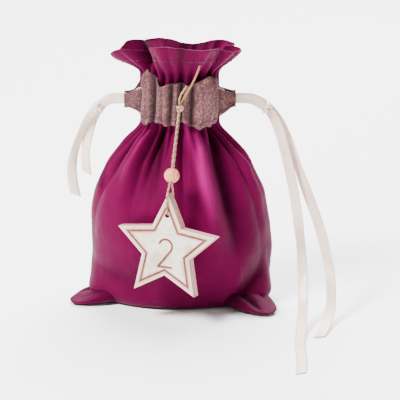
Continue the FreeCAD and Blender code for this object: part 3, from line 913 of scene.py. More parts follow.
    def creased(self, x: np.ndarray, height: np.ndarray, side: np.ndarray) -> np.ndarray:
        """Returns how deep the creases press the cloth in; side is the Side's value."""
        total = np.zeros_like(x)
        for crease in self.creases:
            nearest = np.full_like(x, 1e9)
            depth = np.zeros_like(x)
            for first, second in zip(crease.points, crease.points[1:]):
                run = np.array(second[:2], float) - first[:2]
                gap_x, gap_z = x - first[0], height - first[1]
                share = np.clip((gap_x * run[0] + gap_z * run[1]) / (run @ run), 0, 1)
                off_x, off_z = gap_x - share * run[0], gap_z - share * run[1]
                distance = np.hypot(off_x, off_z)
                turn = np.sign(run[0] * off_z - run[1] * off_x)
                width = first[3] + share * (second[3] - first[3])
                width = width * (1 + crease.lean * turn)
                here = first[2] + share * (second[2] - first[2])
                value = here * bell(distance / width, 1.45)
                closer = distance < nearest
                nearest = np.where(closer, distance, nearest)
                depth = np.where(closer, value, depth)
            total += np.where(side == crease.side.value, depth, 0)
        return total

    def frill(self, angle: np.ndarray, height: np.ndarray) -> np.ndarray:
        """Returns how far the loose frill above the neck waves outwards."""
        turn = np.radians(angle)
        share = smoothstep((height - self.neck[1]) / (self.top - self.neck[1]))
        waves = (
            3.3 * np.cos(5 * turn + 1.1) + 2.3 * np.cos(8 * turn + 2.4) + 0.9 * np.cos(13 * turn)
        )
        centre, depth, width = self.hollow
        gap = wrapped(angle - centre)
        waves -= depth * bell(gap / width, 1.7)
        waves += 5.5 * bell(wrapped(angle + 70) / 17)
        waves += 2.6 * bell(wrapped(angle - 14) / 22)
        behind = bell(((angle % 360) - 180) / 62)
        return share * waves - share * 5.0 * behind

    def hem_lift(self, angle: np.ndarray, height: np.ndarray) -> np.ndarray:
        """Returns how much higher or lower the frill stands than a level rim."""
        turn = np.radians(angle)
        share = smoothstep((height - self.neck[1]) / (self.top - self.neck[1])) ** 1.5
        waves = 1.2 * np.cos(3 * turn + 0.7) + 0.9 * np.cos(7 * turn + 1.9)
        centre, _, width = self.hollow
        waves -= 3.5 * bell(wrapped(angle - centre) / width)
        waves += 1.6 * np.cos(turn)
        waves -= 3.0 * np.clip(np.sin(turn), 0, 1) ** 5
        waves -= 5.0 * bell(wrapped(angle + 86) / 16)
        return share * waves

    def tone(self, angle: np.ndarray, height: np.ndarray) -> np.ndarray:
        """Returns painted shading: shade above 0 in creases, gathers and low down, highlight below 0
        on ridges.
        """
        wide, _ = self.half_sizes(height)
        side = np.where(np.abs(wrapped(angle)) <= 90, -1, 1)
        above = np.clip(height - self.neck[1], 0, None) / (self.top - self.neck[1])
        # painted shade in creases and gathers, painted highlight on ridges
        pressed = self.creased(wide * np.sin(np.radians(angle)), height, side)
        pressed += (0.45 + 0.9 * above) * self.gathered(angle, height)
        # painted highlight where the frill waves out, painted shade where it waves in
        pressed -= 0.5 * np.clip(self.frill(angle, height), -9, 5)
        # painted shade that deepens towards the bottom of the sack
        low = 1 - smoothstep((height - 24) / 62)
        return pressed / 8.5 + 0.34 * low

    def surface(
        self, angle: np.ndarray, height: np.ndarray, off: np.ndarray | float = 0.0,
        share: float = 1.0,
    ) -> np.ndarray:
        """Returns places on the cloth's outside, in metres.

        Args:
            angle: Degrees round from the front's middle, towards +X.
            height: The height on the level form, in mm.
            off: How far outside the cloth's face, in mm.
            share: How much of the folds is taken.

        Returns:
            One place per row.
        """
        wide, deep = self.half_sizes(height)
        turn = np.radians(angle)
        x, y = wide * np.sin(turn), -deep * np.cos(turn)
        side = np.where(np.abs(wrapped(angle)) <= 90, -1, 1)
        seam_gap = np.abs(np.abs(wrapped(angle)) - 90)
        edge = smoothstep(seam_gap / 14)
        below = smoothstep((self.neck[0] - height) / 14)
        floor = smoothstep((height - 0.5) / 9)
        fold = self.frill(angle, height) + below * self.rest_puff
        fold = fold - self.gathered(angle, height) - self.creased(x, height, side) * edge
        flat = np.stack([x, y, height], axis=1) * MM
        soft = np.minimum(wavy_noise(flat, 0.042, 3.1) * 2.3, 1.3) * below
        soft = soft + wavy_noise(flat, 0.012, 8.3, 2) * 0.35
        bump = (fold * share + soft * share) * floor + off
        for centre, reach, width in self.roots:
            gap = wrapped(angle - centre)
            bump += reach * bell(gap / width) * (1 - smoothstep(height / 34))
        across, front = deep * np.sin(turn), -wide * np.cos(turn)
        length = np.hypot(across, front)
        places = np.stack(
            [x + bump * across / length, y + bump * front / length,
             height + self.hem_lift(angle, height)], axis=1,
        )
        return places * MM


def hang_on(piece: bpy.types.Object, side: Side) -> None:
    """Joins a back cloth piece to the sack's body, and bakes a front piece's place into its mesh."""
    if side is Side.FRONT:
        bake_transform(piece)
    else:
        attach(piece, "sack")


def state(piece: bpy.types.Object, node: str, body: str | Side) -> None:
    """Hides the CAD node that piece replaces, then attaches piece to its body or passes it to hang_on.

    Args:
        piece: The visual piece.
        node: The CAD node that it replaces.
        body: The body that it rides, or the cloth half that it hangs on.
    """
    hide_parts(node)
    if isinstance(body, Side):
        hang_on(piece, body)
    else:
        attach(piece, body)


def around(side: Side, share: np.ndarray, reach: float = 90.0) -> np.ndarray:
    """Returns the angle for a share of the way round one half, within reach of its middle."""
    return (0.0 if side is Side.FRONT else 180.0) + (share * 2 - 1) * reach


@dataclass
class ClothBody:
    """The two cloth halves, each cut flat, seamed and hemmed."""

    form: SackForm
    cotton: bpy.types.Material
    flat: tuple[float, float] = (0.14, 0.2)
    columns: int = 216
    foot_rows: int = 12
    wall_rows: int = 140
    hem_rows: int = 12
    hem: float = 8.0
    hem_gap: float = 1.15
    floor_gap: float = 0.25
    cloth: float = 0.0005
    doubled: float = 0.0009

    def stations(self) -> tuple[np.ndarray, np.ndarray, np.ndarray]:
        """Returns each row's height, share of the foot and way off the outer face."""
        foot = np.linspace(0, 1, self.foot_rows, endpoint=False)
        wall = np.linspace(0, 1, self.wall_rows)
        wall = 0.5 * (wall + np.sin((wall - 0.5) * math.pi) / 2 + 0.5)
        heights = wall * self.form.top
        turn = np.radians(np.linspace(30, 180, 6))
        inside = np.linspace(0, self.hem, self.hem_rows)[1:]
        radius = self.hem_gap / 2
        height = np.concatenate(
            [np.zeros(len(foot)), heights, self.form.top + radius * np.sin(turn),
             self.form.top - inside]
        )
        off = np.concatenate(
            [np.zeros(len(foot) + len(wall)), -radius * (1 - np.cos(turn)),
             np.full(len(inside), -self.hem_gap)]
        )
        share = np.concatenate([foot, np.ones(len(height) - len(foot))])
        return height, share, off

    def half(self, side: Side) -> bpy.types.Object:
        """Makes one half from the bottom seam up the wall and over the hem."""
        height, foot, off = self.stations()
        rows = len(height) - 1

        def shape(across: np.ndarray, along: np.ndarray) -> np.ndarray:
            """Returns a place for each pair of shares across and along."""
            row = np.rint(along * rows).astype(int)
            angle = around(side, across)
            places = self.form.surface(angle, height[row], off[row])
            places[:, 1] *= foot[row]
            places[:, 2] += self.floor_gap * MM + self.cloth
            return places

        def tone(across: np.ndarray, along: np.ndarray) -> np.ndarray:
            """Returns the painted shading at each pair of shares."""
            row = np.rint(along * rows).astype(int)
            return self.form.tone(around(side, across), height[row])

        name = f"{side.name.lower()}_cloth"
        piece = grid_piece(name, self.columns, rows, shape, self.flat, tone=tone)
        give_wall(piece, self.cloth)
        dress(piece, self.cotton)
        state(piece, f"{side.name.lower()}_panel", side)
        return piece

    def seam(self, at: float, name: str) -> bpy.types.Object:
        """Makes the allowance that stands inwards at a side seam."""
        wide, low, high = 5.0, 4.0, 138.0

        def shape(across: np.ndarray, along: np.ndarray) -> np.ndarray:
            """Returns a place for each pair of shares across and along."""
            height = low + along * (high - low)
            ends = np.clip(np.minimum(along, 1 - along) * 30, 0, 1)
            depth = -0.9 - across * (wide * ends) * (1 - 0.35 * smoothstep((height - 90) / 25))
            places = self.form.surface(np.full_like(across, at), height, depth)
            places[:, 1] += 0.0004 * np.sin(along * 40) * across
            places[:, 2] += self.floor_gap * MM
            return places

        piece = grid_piece(name, 6, 120, shape, (wide * MM, (high - low) * MM))
        give_wall(piece, self.doubled, 0)
        dress(piece, self.cotton)
        state(piece, name.replace("_allowance", "_seam"), "sack")
        return piece

    def foot_seam(self) -> bpy.types.Object:
        """Makes the allowance that lies inside along the bottom seam."""
        reach, wide = 43.0, 5.5

        def shape(across: np.ndarray, along: np.ndarray) -> np.ndarray:
            """Returns a place for each pair of shares across and along."""
            x = (across * 2 - 1) * reach
            ends = np.clip((1 - np.abs(across * 2 - 1)) * 12, 0, 1)
            y = along * wide * ends + 0.3
            z = 1.5 + 1.2 * np.sin(along * 2.2) + 0.25 * np.sin(x * 0.35)
            return np.stack([x, y, z], axis=1) * MM

        piece = grid_piece("bottom_allowance", 90, 8, shape, (2 * reach * MM, wide * MM))
        give_wall(piece, self.doubled, 0)
        dress(piece, self.cotton)
        state(piece, "bottom_seam", "sack")
        return piece

    def build(self) -> list[bpy.types.Object]:
        """Makes both halves and the allowances inside."""
        return [
            self.half(Side.FRONT), self.half(Side.BACK),
            self.seam(-90.0, "left_allowance"), self.seam(90.0, "right_allowance"),
            self.foot_seam(),
        ]


@dataclass(frozen=True)
class Ear:
    """A bottom corner of the sack, folded out on the floor; mm and degrees."""

    name: str
    replaced: str
    centre: tuple[float, float]
    points_to: float
    reach: float = 22.0
    wide: float = 10.0
    tall: float = 11.0
    seed: float = 1.0

    def build(self, cotton: bpy.types.Material) -> bpy.types.Object:
        """Makes the ear from a sphere pressed into a folded, blunt point."""
        deselect()
        bpy.ops.mesh.primitive_uv_sphere_add(segments=72, ring_count=48, radius=1)
        piece = bpy.context.object
        piece.name = self.name
        ball = coordinates(piece)
        x, y, z = ball.T
        taper = 1.32 - 0.32 * smoothstep((x + 0.5) / 1.4)
        length = np.sign(x) * np.abs(x) ** 0.86 * self.reach
        across = np.sign(y) * np.abs(y) ** 0.82 * self.wide * taper
        lift = 0.5 * (1 + np.sign(z) * np.abs(z) ** 0.8)
        top = self.tall * (0.86 - 0.52 * x) * lift
        fold = 2.4 * bell((y + 0.26 + 0.3 * x) / 0.17)
        fold += 1.3 * bell((y - 0.42 + 0.2 * x) / 0.13)
        top -= fold * smoothstep((z + 0.1) / 0.5) * smoothstep((1.0 - x) / 0.8)
        rough = np.stack([length, across, top], axis=1)
        folds = wavy_noise(rough * np.array([0.45, 1, 1]) * MM, 0.0075, self.seed) * 0.8
        rough[:, 2] += folds * smoothstep(z * 1.5)
        turn = math.radians(self.points_to)
        cos, sin = math.cos(turn), math.sin(turn)
        places = np.stack(
            [self.centre[0] + rough[:, 0] * cos - rough[:, 1] * sin,
             self.centre[1] + rough[:, 0] * sin + rough[:, 1] * cos,
             np.clip(rough[:, 2], 0, None) + 0.25], axis=1,
        )
        place_vertices(piece, places * MM)
        scale_uv(piece, (0.05, 0.04))
        # painted shade over the ear: darker overall, deeper in its folds and towards its root
        give_painted_shading(piece, 0.72 + fold * 0.12 - 0.3 * x)
        dress(piece, cotton)
        state(piece, self.replaced, "sack")
        return piece


@dataclass
class Casing:
    """The woven band round the neck, its ribbons inside and its stitches."""

    form: SackForm
    weave: bpy.types.Material
    satin: bpy.types.Material
    thread: bpy.types.Material
    flat: tuple[float, float] = (0.11, 0.026)
    low: float = 113.5
    high: float = 137.5
    reach: float = 84.0
    wing: tuple[float, float] = (33.6, 2.9)
    columns: int = 260
    rows: int = 30
    patch: float = -46.0
    puff: float = 40.0
    share: float = 0.32
    thick: float = 0.0008
    ribbon_thick: float = 0.00035
    run_middle: float = 0.126
    run_exit: tuple[float, float] = (0.0268, 0.0018)
    runs: tuple[tuple[str, float], ...] = (("lower", 116.5), ("upper", 127.5))
    stitch_rows: tuple[float, float] = (0.13, 0.87)
    stitch_count: int = 40
    stitch_off: float = 0.25
    pleats: dict = field(default_factory=lambda: {
        Side.FRONT: ((-67, 2.4, 5), (-38, 3.6, 6), (-12, 3.0, 4.6), (2, 4.2, 5), (17, 3.2, 4.4),
                     (62, 3.0, 5)),
        Side.BACK: ((109, 3.0, 5), (138, 3.6, 6), (166, 3.2, 5), (195, 3.8, 6), (224, 3.2, 5),
                    (254, 2.6, 5)),
    })

    def edge_heights(self, angle: np.ndarray, side: Side) -> tuple[np.ndarray, np.ndarray]:
        """Returns the heights of the band's lower and upper edge."""
        turn = np.radians(angle)
        low = self.low + 1.0 * np.sin(9 * turn + 0.6) + 0.5 * np.sin(23 * turn)
        high = self.high + 0.9 * np.sin(7 * turn + 2.0) + 0.45 * np.sin(19 * turn + 1)
        if side is Side.FRONT:
            high += 9.0 * np.clip(1 - np.abs(angle - self.patch) / 19, 0, 1) ** 1.15
            high += 4.2 * bell((angle - self.puff) / 19, 4)
            low -= 1.5 * bell((angle - 22) / 10)
            low -= 2.4 * bell((angle - 44) / 13)
        return low, high

    def pleated(self, side: Side, angle: np.ndarray, along: np.ndarray) -> np.ndarray:
        """Returns how deep the band's own pleats are, in mm."""
        total = np.zeros_like(angle)
        for centre, depth, width in self.pleats[side]:
            gap = np.abs((angle - centre - 4 * (along - 0.5)) / width)
            total += depth * bell(gap, 1.5)
        return total

    def place(
        self, side: Side, across: np.ndarray, along: np.ndarray, off: float = 0.0
    ) -> np.ndarray:
        """Returns places on the band's outside for shares across and up it."""
        angle = around(side, across, self.reach)
        low, high = self.edge_heights(angle, side)
        height = low + along * (high - low)
        flare = 2.0 * (1 - along) ** 4 + 1.5 * along**5
        bulge = 0.6 * np.sin(along * math.pi) - self.pleated(side, angle, along)
        if side is Side.FRONT:
            dome = np.sin(np.clip(along, 0, 1) * math.pi) ** 0.6
            bulge = bulge + 4.6 * dome * bell((angle - self.puff) / 17, 4)
        level = np.clip(height, self.form.neck[0], self.form.neck[1])
        places = self.form.surface(angle, level, 2.1 + flare + bulge + off, self.share)
        places[:, 2] += (height - level) * MM
        rough = wavy_noise(places, 0.005, 5.0) * 0.35 * MM
        out = np.stack([np.sin(np.radians(angle)), -np.cos(np.radians(angle))], axis=1)
        places[:, :2] += out * rough[:, None]
        edge = np.abs(across * 2 - 1)
        share = smoothstep((edge - 0.76) / 0.24)
        sign = np.sign(places[:, 0])
        middle = (self.low + self.high) / 2 * MM
        tall = (places[:, 2] - middle) * (1 - 0.62 * smoothstep((edge - 0.62) / 0.34))
        wing_x = sign * self.wing[0] * MM
        wing_y = side.value * (self.wing[1] * MM + 0.0006 * np.cos(along * 9))
        spread = np.clip((edge - 0.8) / 0.2, 0, 1) ** 1.1
        reach = np.abs(places[:, 0])
        places[:, 0] = sign * (reach * (1 - spread) + np.abs(wing_x) * spread)
        places[:, 1] = places[:, 1] * (1 - share) + wing_y * share
        places[:, 2] = middle + tall
        return places

    def band(self, side: Side) -> bpy.types.Object:
        """Makes one half of the band."""

        def tone(across: np.ndarray, along: np.ndarray) -> np.ndarray:
            """Returns painted shade for the band's pleats at each pair of shares."""
            return self.pleated(side, around(side, across, self.reach), along) / 3.4

        name = f"{side.name.lower()}_band"
        piece = grid_piece(name, self.columns, self.rows, lambda u, v: self.place(side, u, v),
                           self.flat, tone=tone)
        give_wall(piece, self.thick)
        dress(piece, self.weave)
        state(piece, f"{side.name.lower()}_casing", side)
        return piece

    def run(self, side: Side, level: str, low: float) -> bpy.types.Object:
        """Makes one ribbon's run inside the band."""
        exit_x, exit_y = self.run_exit

        def shape(across: np.ndarray, along: np.ndarray) -> np.ndarray:
            """Returns a place for each pair of shares across and along."""
            angle = around(side, along, self.reach)
            places = self.form.surface(angle, low + across * 6, 0.75, 1.0)
            edge = np.abs(along * 2 - 1)
            share = smoothstep((edge - 0.84) / 0.16)
            spread = np.clip((edge - 0.84) / 0.16, 0, 1)
            sign = np.sign(places[:, 0])
            places[:, 0] = sign * (np.abs(places[:, 0]) * (1 - spread) + exit_x * spread)
            places[:, 1] = places[:, 1] * (1 - share) + side.value * exit_y * share
            raised = (places[:, 2] - self.run_middle) * (1 - 0.35 * share)
            places[:, 2] = self.run_middle + raised
            return places

        name = f"{level}_run_{side.name.lower()}"
        piece = grid_piece(name, 4, 240, shape, (0.006, 0.08))
        give_wall(piece, self.ribbon_thick, 0)
        dress(piece, self.satin)
        state(piece, f"{level}_ribbon_{side.name.lower()}", side)
        return piece

    def stitches(self, side: Side) -> bpy.types.Object:
        """Makes the two rows of stitches along the band's edges."""
        places, ways = [], []
        for along in self.stitch_rows:
            across = np.linspace(0.05, 0.95, self.stitch_count)
            level = np.full_like(across, along)
            here = self.place(side, across, level, self.stitch_off)
            there = self.place(side, across + 0.004, level, self.stitch_off)
            places += list(here)
            ways += list(there - here)
        return sew(f"{side.name.lower()}_band_stitches", places, ways, self.thread, side,
                   f"{side.name.lower()}_casing_thread")

    def build(self) -> list[bpy.types.Object]:
        """Makes both halves with their ribbons and stitches."""
        made = []
        for side in Side:
            made.append(self.band(side))
            made += [self.run(side, level, low) for level, low in self.runs]
            made.append(self.stitches(side))
        return made


def sew(
    name: str, places: Sequence[np.ndarray], ways: Sequence[np.ndarray],
    thread: bpy.types.Material, side: Side, replaced: str,
) -> bpy.types.Object:
    """Makes a row of stitches, one small bent bead of thread copied along it.

    Args:
        name: The piece's name.
        places: Each stitch's middle, in metres.
        ways: The way each stitch runs.
        thread: Their finish.
        side: The half that they are on.
        replaced: The CAD node that they stand for.

    Returns:
        The stitches as one piece.
    """
    deselect()
    bpy.ops.mesh.primitive_uv_sphere_add(segments=8, ring_count=6, radius=1)
    model = bpy.context.object
    ball = coordinates(model)
    ball *= np.array([1.05, 0.28, 0.28]) * MM
    ball[:, 1] -= (ball[:, 0] / MM) ** 2 * 0.16 * MM * 0.9
    place_vertices(model, ball)
    copies = []
    for place, way in zip(places, ways):
        along = Vector(way).normalized()
        outward = Vector((place[0] * 0.4, place[1], 0)).normalized()
        outward = (outward - along * outward.dot(along)).normalized()
        turn = Matrix((along, outward, along.cross(outward))).transposed().to_4x4()
        copy = model.copy()
        copy.data = model.data.copy()
        bpy.context.scene.collection.objects.link(copy)
        copy.data.transform(Matrix.Translation(Vector(place)) @ turn)
        copies.append(copy)
    bpy.data.objects.remove(model)
    piece = join(copies, name)
    dress(piece, thread)
    state(piece, replaced, side)
    return piece


@dataclass
class HemStitches:
    """The row of stitches below the sack's rim."""

    form: SackForm
    thread: bpy.types.Material
    height: float = 151.0

    def build(self) -> list[bpy.types.Object]:
        """Makes the row on both halves."""
        made = []
        for side in Side:
            angle = around(side, np.linspace(0.02, 0.98, 44))
            level = np.full_like(angle, self.height)
            lift = np.array([0, 0, 0.00075])
            here = self.form.surface(angle, level, 0.2) + lift
            there = self.form.surface(angle + 0.6, level, 0.2) + lift
            made.append(sew(f"{side.name.lower()}_rim_stitches", list(here), list(there - here),
                            self.thread, side, f"{side.name.lower()}_hem_thread"))
        return made


# ---------------------------------------------------------------- ties, twine and tag
@dataclass(frozen=True)
class Tie:
    """One satin tail of a drawstring, from its casing's slit to its cut end; mm."""

    name: str
    body: str
    points: tuple[tuple[float, float, float], ...]
    lay: str
    phase: float
    wobble: float = 24.0
    cut: float = 4.0
    width: float = 6.0
    thick: float = 0.4

    def build(self, satin: bpy.types.Material, knot: bpy.types.Object | None) -> bpy.types.Object:
        """Makes the ribbon along its route, flat where it lies on the floor.

        Args:
            satin: Its finish.
            knot: The knot that holds it, or None for the other tail; not used.

        Returns:
            The ribbon.
        """
        route = spline(self.points)
        line = follow(route, (0, 0, 1), 0.0008)
        height = line.places[:, 2]
        near = smoothstep((0.03 - height) / 0.026)
        level = np.cross(np.array([0, 0, 1.0]), line.along)
        level /= np.linalg.norm(level, axis=1)[:, None] + 1e-9
        sine = np.einsum("ij,ij->i", np.cross(line.across, level), line.along)
        cosine = np.einsum("ij,ij->i", line.across, level)
        error = np.unwrap(2 * np.arctan2(sine, cosine)) / 2
        error -= np.round(error[-1] / math.pi) * math.pi
        steps = np.linspace(0, line.length, len(line.places))
        free = smoothstep((steps - 0.009) / 0.018) * (1 - near)
        angle = np.radians(self.wobble) * np.sin(steps / 0.0105 + self.phase)
        angle += np.radians(self.wobble * 0.8) * np.sin(steps / 0.023 + self.phase * 2)
        line = line.turned(angle * free + error * near)
        half = self.width / 2 * MM

        def shape(across: np.ndarray, along: np.ndarray) -> np.ndarray:
            """Returns a place for each pair of shares across and along."""
            side = (across * 2 - 1) * half
            share = along * (1 - self.cut * MM * across / line.length)
            curl = -0.35 * MM * (1 - (across * 2 - 1) ** 2) * (1 - np.interp(
                share * (len(near) - 1), np.arange(len(near)), near))
            return line.at(share, side, curl)

        flat = (self.width * MM, line.length)
        piece = grid_piece(self.name, 6, len(line.places) - 1, shape, flat)
        give_wall(piece, self.thick * MM, 0)
        dress(piece, satin)
        state(piece, self.name.replace("_tail", "_tie"), self.body)
        start = tuple(np.array(self.points[0]) * MM)
        line.length - self.cut * MM / 2
        [tuple(p) for p in line.places[::3]]
        return piece


def knotted(
    name: str, centre: Sequence[float], radii: Sequence[float], wide: float, thick: float,
    tilt: float,
) -> bpy.types.Object:
    """Makes an overhand knot, a trefoil of a flat or round yarn drawn tight; mm.

    Args:
        name: The knot's name.
        centre: Its middle.
        radii: Its half sizes.
        wide: The yarn's half width.
        thick: The yarn's half thickness.
        tilt: How far the knot is turned about Y, in degrees.

    Returns:
        The knot.
    """
    turn = np.linspace(0, math.tau, 181)[:-1]
    places = np.stack(
        [(np.sin(turn) + 2 * np.sin(2 * turn)) / 3, -np.sin(3 * turn),
         (np.cos(turn) - 2 * np.cos(2 * turn)) / 3], axis=1,
    )
    room = np.array(radii) - np.array([wide, thick, wide]) * 0.8
    angle = math.radians(tilt)
    spin = np.array([[math.cos(angle), 0, math.sin(angle)], [0, 1, 0],
                     [-math.sin(angle), 0, math.cos(angle)]])
    places = (places * room) @ spin.T + np.array(centre)
    places = np.concatenate([places, places[:1]]) * MM
    along = np.gradient(places, axis=0)
    along[0] = along[-1] = places[1] - places[-2]
    along /= np.linalg.norm(along, axis=1)[:, None]
    outward = places - np.array(centre) * MM
    across = np.cross(along, outward)
    across /= np.linalg.norm(across, axis=1)[:, None]
    line = Line(places, along, across)

    def shape(ring: np.ndarray, share: np.ndarray) -> np.ndarray:
        """Returns a place on the yarn for each share round and along it."""
        turn_here = ring * math.tau
        return line.at(share, np.cos(turn_here) * wide * MM, np.sin(turn_here) * thick * MM)

    flat = (wide * 4 * MM, line.length)
    piece = grid_piece(name, 12, len(places) - 1, shape, flat, merge=0.000002)
    edit_whole(piece, face_outwards)
    return piece


@dataclass
class Ties:
    """The four satin tails and the two knots that hold them."""

    satin: bpy.types.Material
    left_knot: tuple[float, float, float] = (-49.5, -0.8, 120.5)
    right_knot: tuple[float, float, float] = (51.5, 0.0, 121.0)
    knot_radii: tuple[float, float, float] = (4.6, 4.6, 4.6)
    knot_yarn: tuple[float, float] = (2.1, 0.75)
    tails: tuple[Tie, ...] = (
        Tie("right_tail_front", "right_ties", (
            (32.2, -0.9, 126), (38, -1.1, 126.2), (45, -1.5, 125.5), (56.5, -2, 116.5),
            (63, -6, 97), (68, -13, 75), (71.5, -23, 53), (73.5, -33, 31),
            (73.5, -47, 12), (71, -66, 0.8), (69, -88, 0.6),
            (69.5, -109, 0.6), (67.5, -128, 0.6)), "loose", 0.4),
        Tie("right_tail_back", "right_ties", (
            (32.2, 0.4, 126), (38, 0.5, 126.2), (45, 0.9, 125.5), (57, 3, 117.5),
            (66, -1, 99), (74.5, -9, 76), (84, -17, 52), (90, -27, 29),
            (91, -41, 11), (86.5, -57, 0.8), (81, -74, 0.6)),
            "loose", 2.2),
        Tie("left_tail_front", "left_ties", (
            (-32.2, -0.9, 126), (-38, -1.1, 126.2), (-44, -1.5, 125.5),
            (-53.5, -3, 117.5), (-60, -5, 105),
            (-65, -6, 91.5), (-66, -7.5, 78), (-63, -9, 66)), "hanging", 1.0),
        Tie("left_tail_back", "left_ties", (
            (-32.2, 0.9, 126), (-38, 1.1, 126.2), (-44, 1.5, 125.5),
            (-52, 0.5, 116.5), (-55.5, -3, 104.5),
            (-57.5, -8, 92), (-56, -12, 80.5)), "hanging", 3.0),
    )

    def build(self) -> list[bpy.types.Object]:
        """Makes the knots, then the tails through them."""
        made = []
        knots = {}
        for side, centre, tilt in (("left", self.left_knot, 24), ("right", self.right_knot, -22)):
            knot = knotted(f"{side}_tie_knot", centre, self.knot_radii, *self.knot_yarn, tilt)
            dress(knot, self.satin)
            state(knot, f"{side}_knot", f"{side}_ties")
            knots[side] = knot
            made.append(knot)
        for tail in self.tails:
            side = tail.name.split("_")[0]
            holds = knots[side] if tail.name.endswith("front") else None
            made.append(tail.build(self.satin, holds))
        return made


@dataclass
class Twine:
    """The two-ply twine: its loop to the star, its knot, its run inside and its cut ends; mm."""

    pale: bpy.types.Material
    gold: bpy.types.Material
    hole: tuple[float, float, float] = (-6, -43, 66)
    across: tuple[float, float, float] = (0.9205, -0.3907, 0.0)
    up: tuple[float, float, float] = (0.0476, 0.1122, 0.9925)
    out: tuple[float, float, float] = (-0.38782, -0.91364, 0.12187)
    knot: tuple[float, float, float] = (0, -21.2, 124.5)
    bend_up: float = 17.4
    near: float = 0.75
    clear: float = 4.7
    crest: float = 14.0
    ply: float = 0.35
    lay: float = 3.4
    inside: tuple = ((0, -12.6, 124.5), (0.1, -15, 124.4), (0, -17.2, 124.5), (0, -19.0, 124.5))
    root: tuple[float, float, float] = (0, -18.05, 125.05)
    cut_ends: tuple = (
        ((0.4, -0.1, 1), (1.5, -0.6, 4), (5, -2.2, 10), (9, -5.5, 18), (11.5, -7, 25)),
        ((-0.1, -0.2, 1), (-0.4, -0.7, 3.6), (0.5, -1.2, 7.5), (3.6, -1.6, 12)),
    )

    def plies(self, line: Line, name: str, golden: bool = False) -> bpy.types.Object:
        """Twists two plies along a line and joins them, the pale one first unless golden."""
        steps = np.linspace(0, line.length, len(line.places))
        ends = np.minimum(steps, line.length - steps) / 0.0015
        radius = self.ply * MM * (0.75 + 0.25 * np.clip(ends, 0, 1))
        made = []
        for index, material in enumerate((self.gold if golden else self.pale, self.gold)):
            angle = steps * math.tau / (self.lay * MM) + index * math.pi
            moved = (line.across * np.cos(angle)[:, None] + line.facing * np.sin(angle)[:, None])
            ply = follow(line.places + moved * self.ply * 0.9 * MM, line.across[0], 0.00042)
            radii = np.interp(np.linspace(0, 1, len(ply.places)),
                              np.linspace(0, 1, len(radius)), radius)
            piece = tube(f"{name}_ply_{index}", ply, radii, 7)
            dress(piece, material)
            made.append(piece)
        return join(made, name)

    def fray(self, end: np.ndarray, way: np.ndarray, name: str) -> list[bpy.types.Object]:
        """Makes the loose fibres at a cut end."""
        made = []
        for index in range(5):
            turn = index * 2.4
            side = np.cross(way, [math.cos(turn), math.sin(turn), 0.3])
            side /= np.linalg.norm(side)
            reach = 1.6 + 0.5 * (index % 3)
            steps = np.linspace(0, 1, 9)[:, None]
            bend = (way * reach * steps + side * (0.25 + 0.55 * steps**2) * steps**0.3) * MM
            fibre = follow(end - way * 0.5 * MM + bend, np.cross(way, side), 0.0003)
            thin = 0.13 * MM * (1 - 0.55 * np.linspace(0, 1, len(fibre.places)))
            piece = tube(f"{name}_fibre_{index}", fibre, thin, 5)
            dress(piece, self.pale if index % 2 else self.gold)
            made.append(piece)
        return made

    def build(self) -> list[bpy.types.Object]:
        """Makes the loop, knot, inner run and cut ends."""
        hole, up, out, knot = (np.array(v, float) for v in (self.hole, self.up, self.out, self.knot))
        bend = hole + up * self.bend_up
        near, side, crest = out * self.near, out * self.clear, up * self.crest
        points = [knot + near, bend + near, hole + side + crest, hole + side, hole - side,
                  hole - side + crest, bend - near, knot - near]
        line = follow(spline(points), self.across, 0.0004)
        loop = self.plies(line, "twine_sling")
        state(loop, "twine_loop", "tag_line")
        line.length
        [tuple(p) for p in line.places]
        tied = knotted("twine_hitch", self.knot, (2.3, 2.1, 2.4), 0.55, 0.5, 12)
        dress(tied, self.pale)
        other = knotted("twine_hitch_gold", self.knot, (1.9, 2.2, 2.0), 0.4, 0.4, 78)
        dress(other, self.gold)
        tied = join([tied, other], "twine_hitch")
        state(tied, "twine_knot", "tag_line")
        inner = follow(np.array(self.inside) * MM, (1, 0, 0), 0.0003)
        inner = self.plies(inner, "twine_inside")
        state(inner, "twine_anchor", "front")
        root = np.array(self.root)
        ends = []
        for index, steps in enumerate(self.cut_ends):
            route = spline([root, *(root + step for step in steps)])
            line = follow(route, (1, 0, 0), 0.0004)
            ends.append(self.plies(line, f"cut_end_{index}", golden=index == 0))
            ends += self.fray(line.places[-1], line.along[-1], f"cut_end_{index}")
        ends = join(ends, "twine_cut_ends")
        state(ends, "twine_ends", "front")
        return [loop, tied, inner, ends]


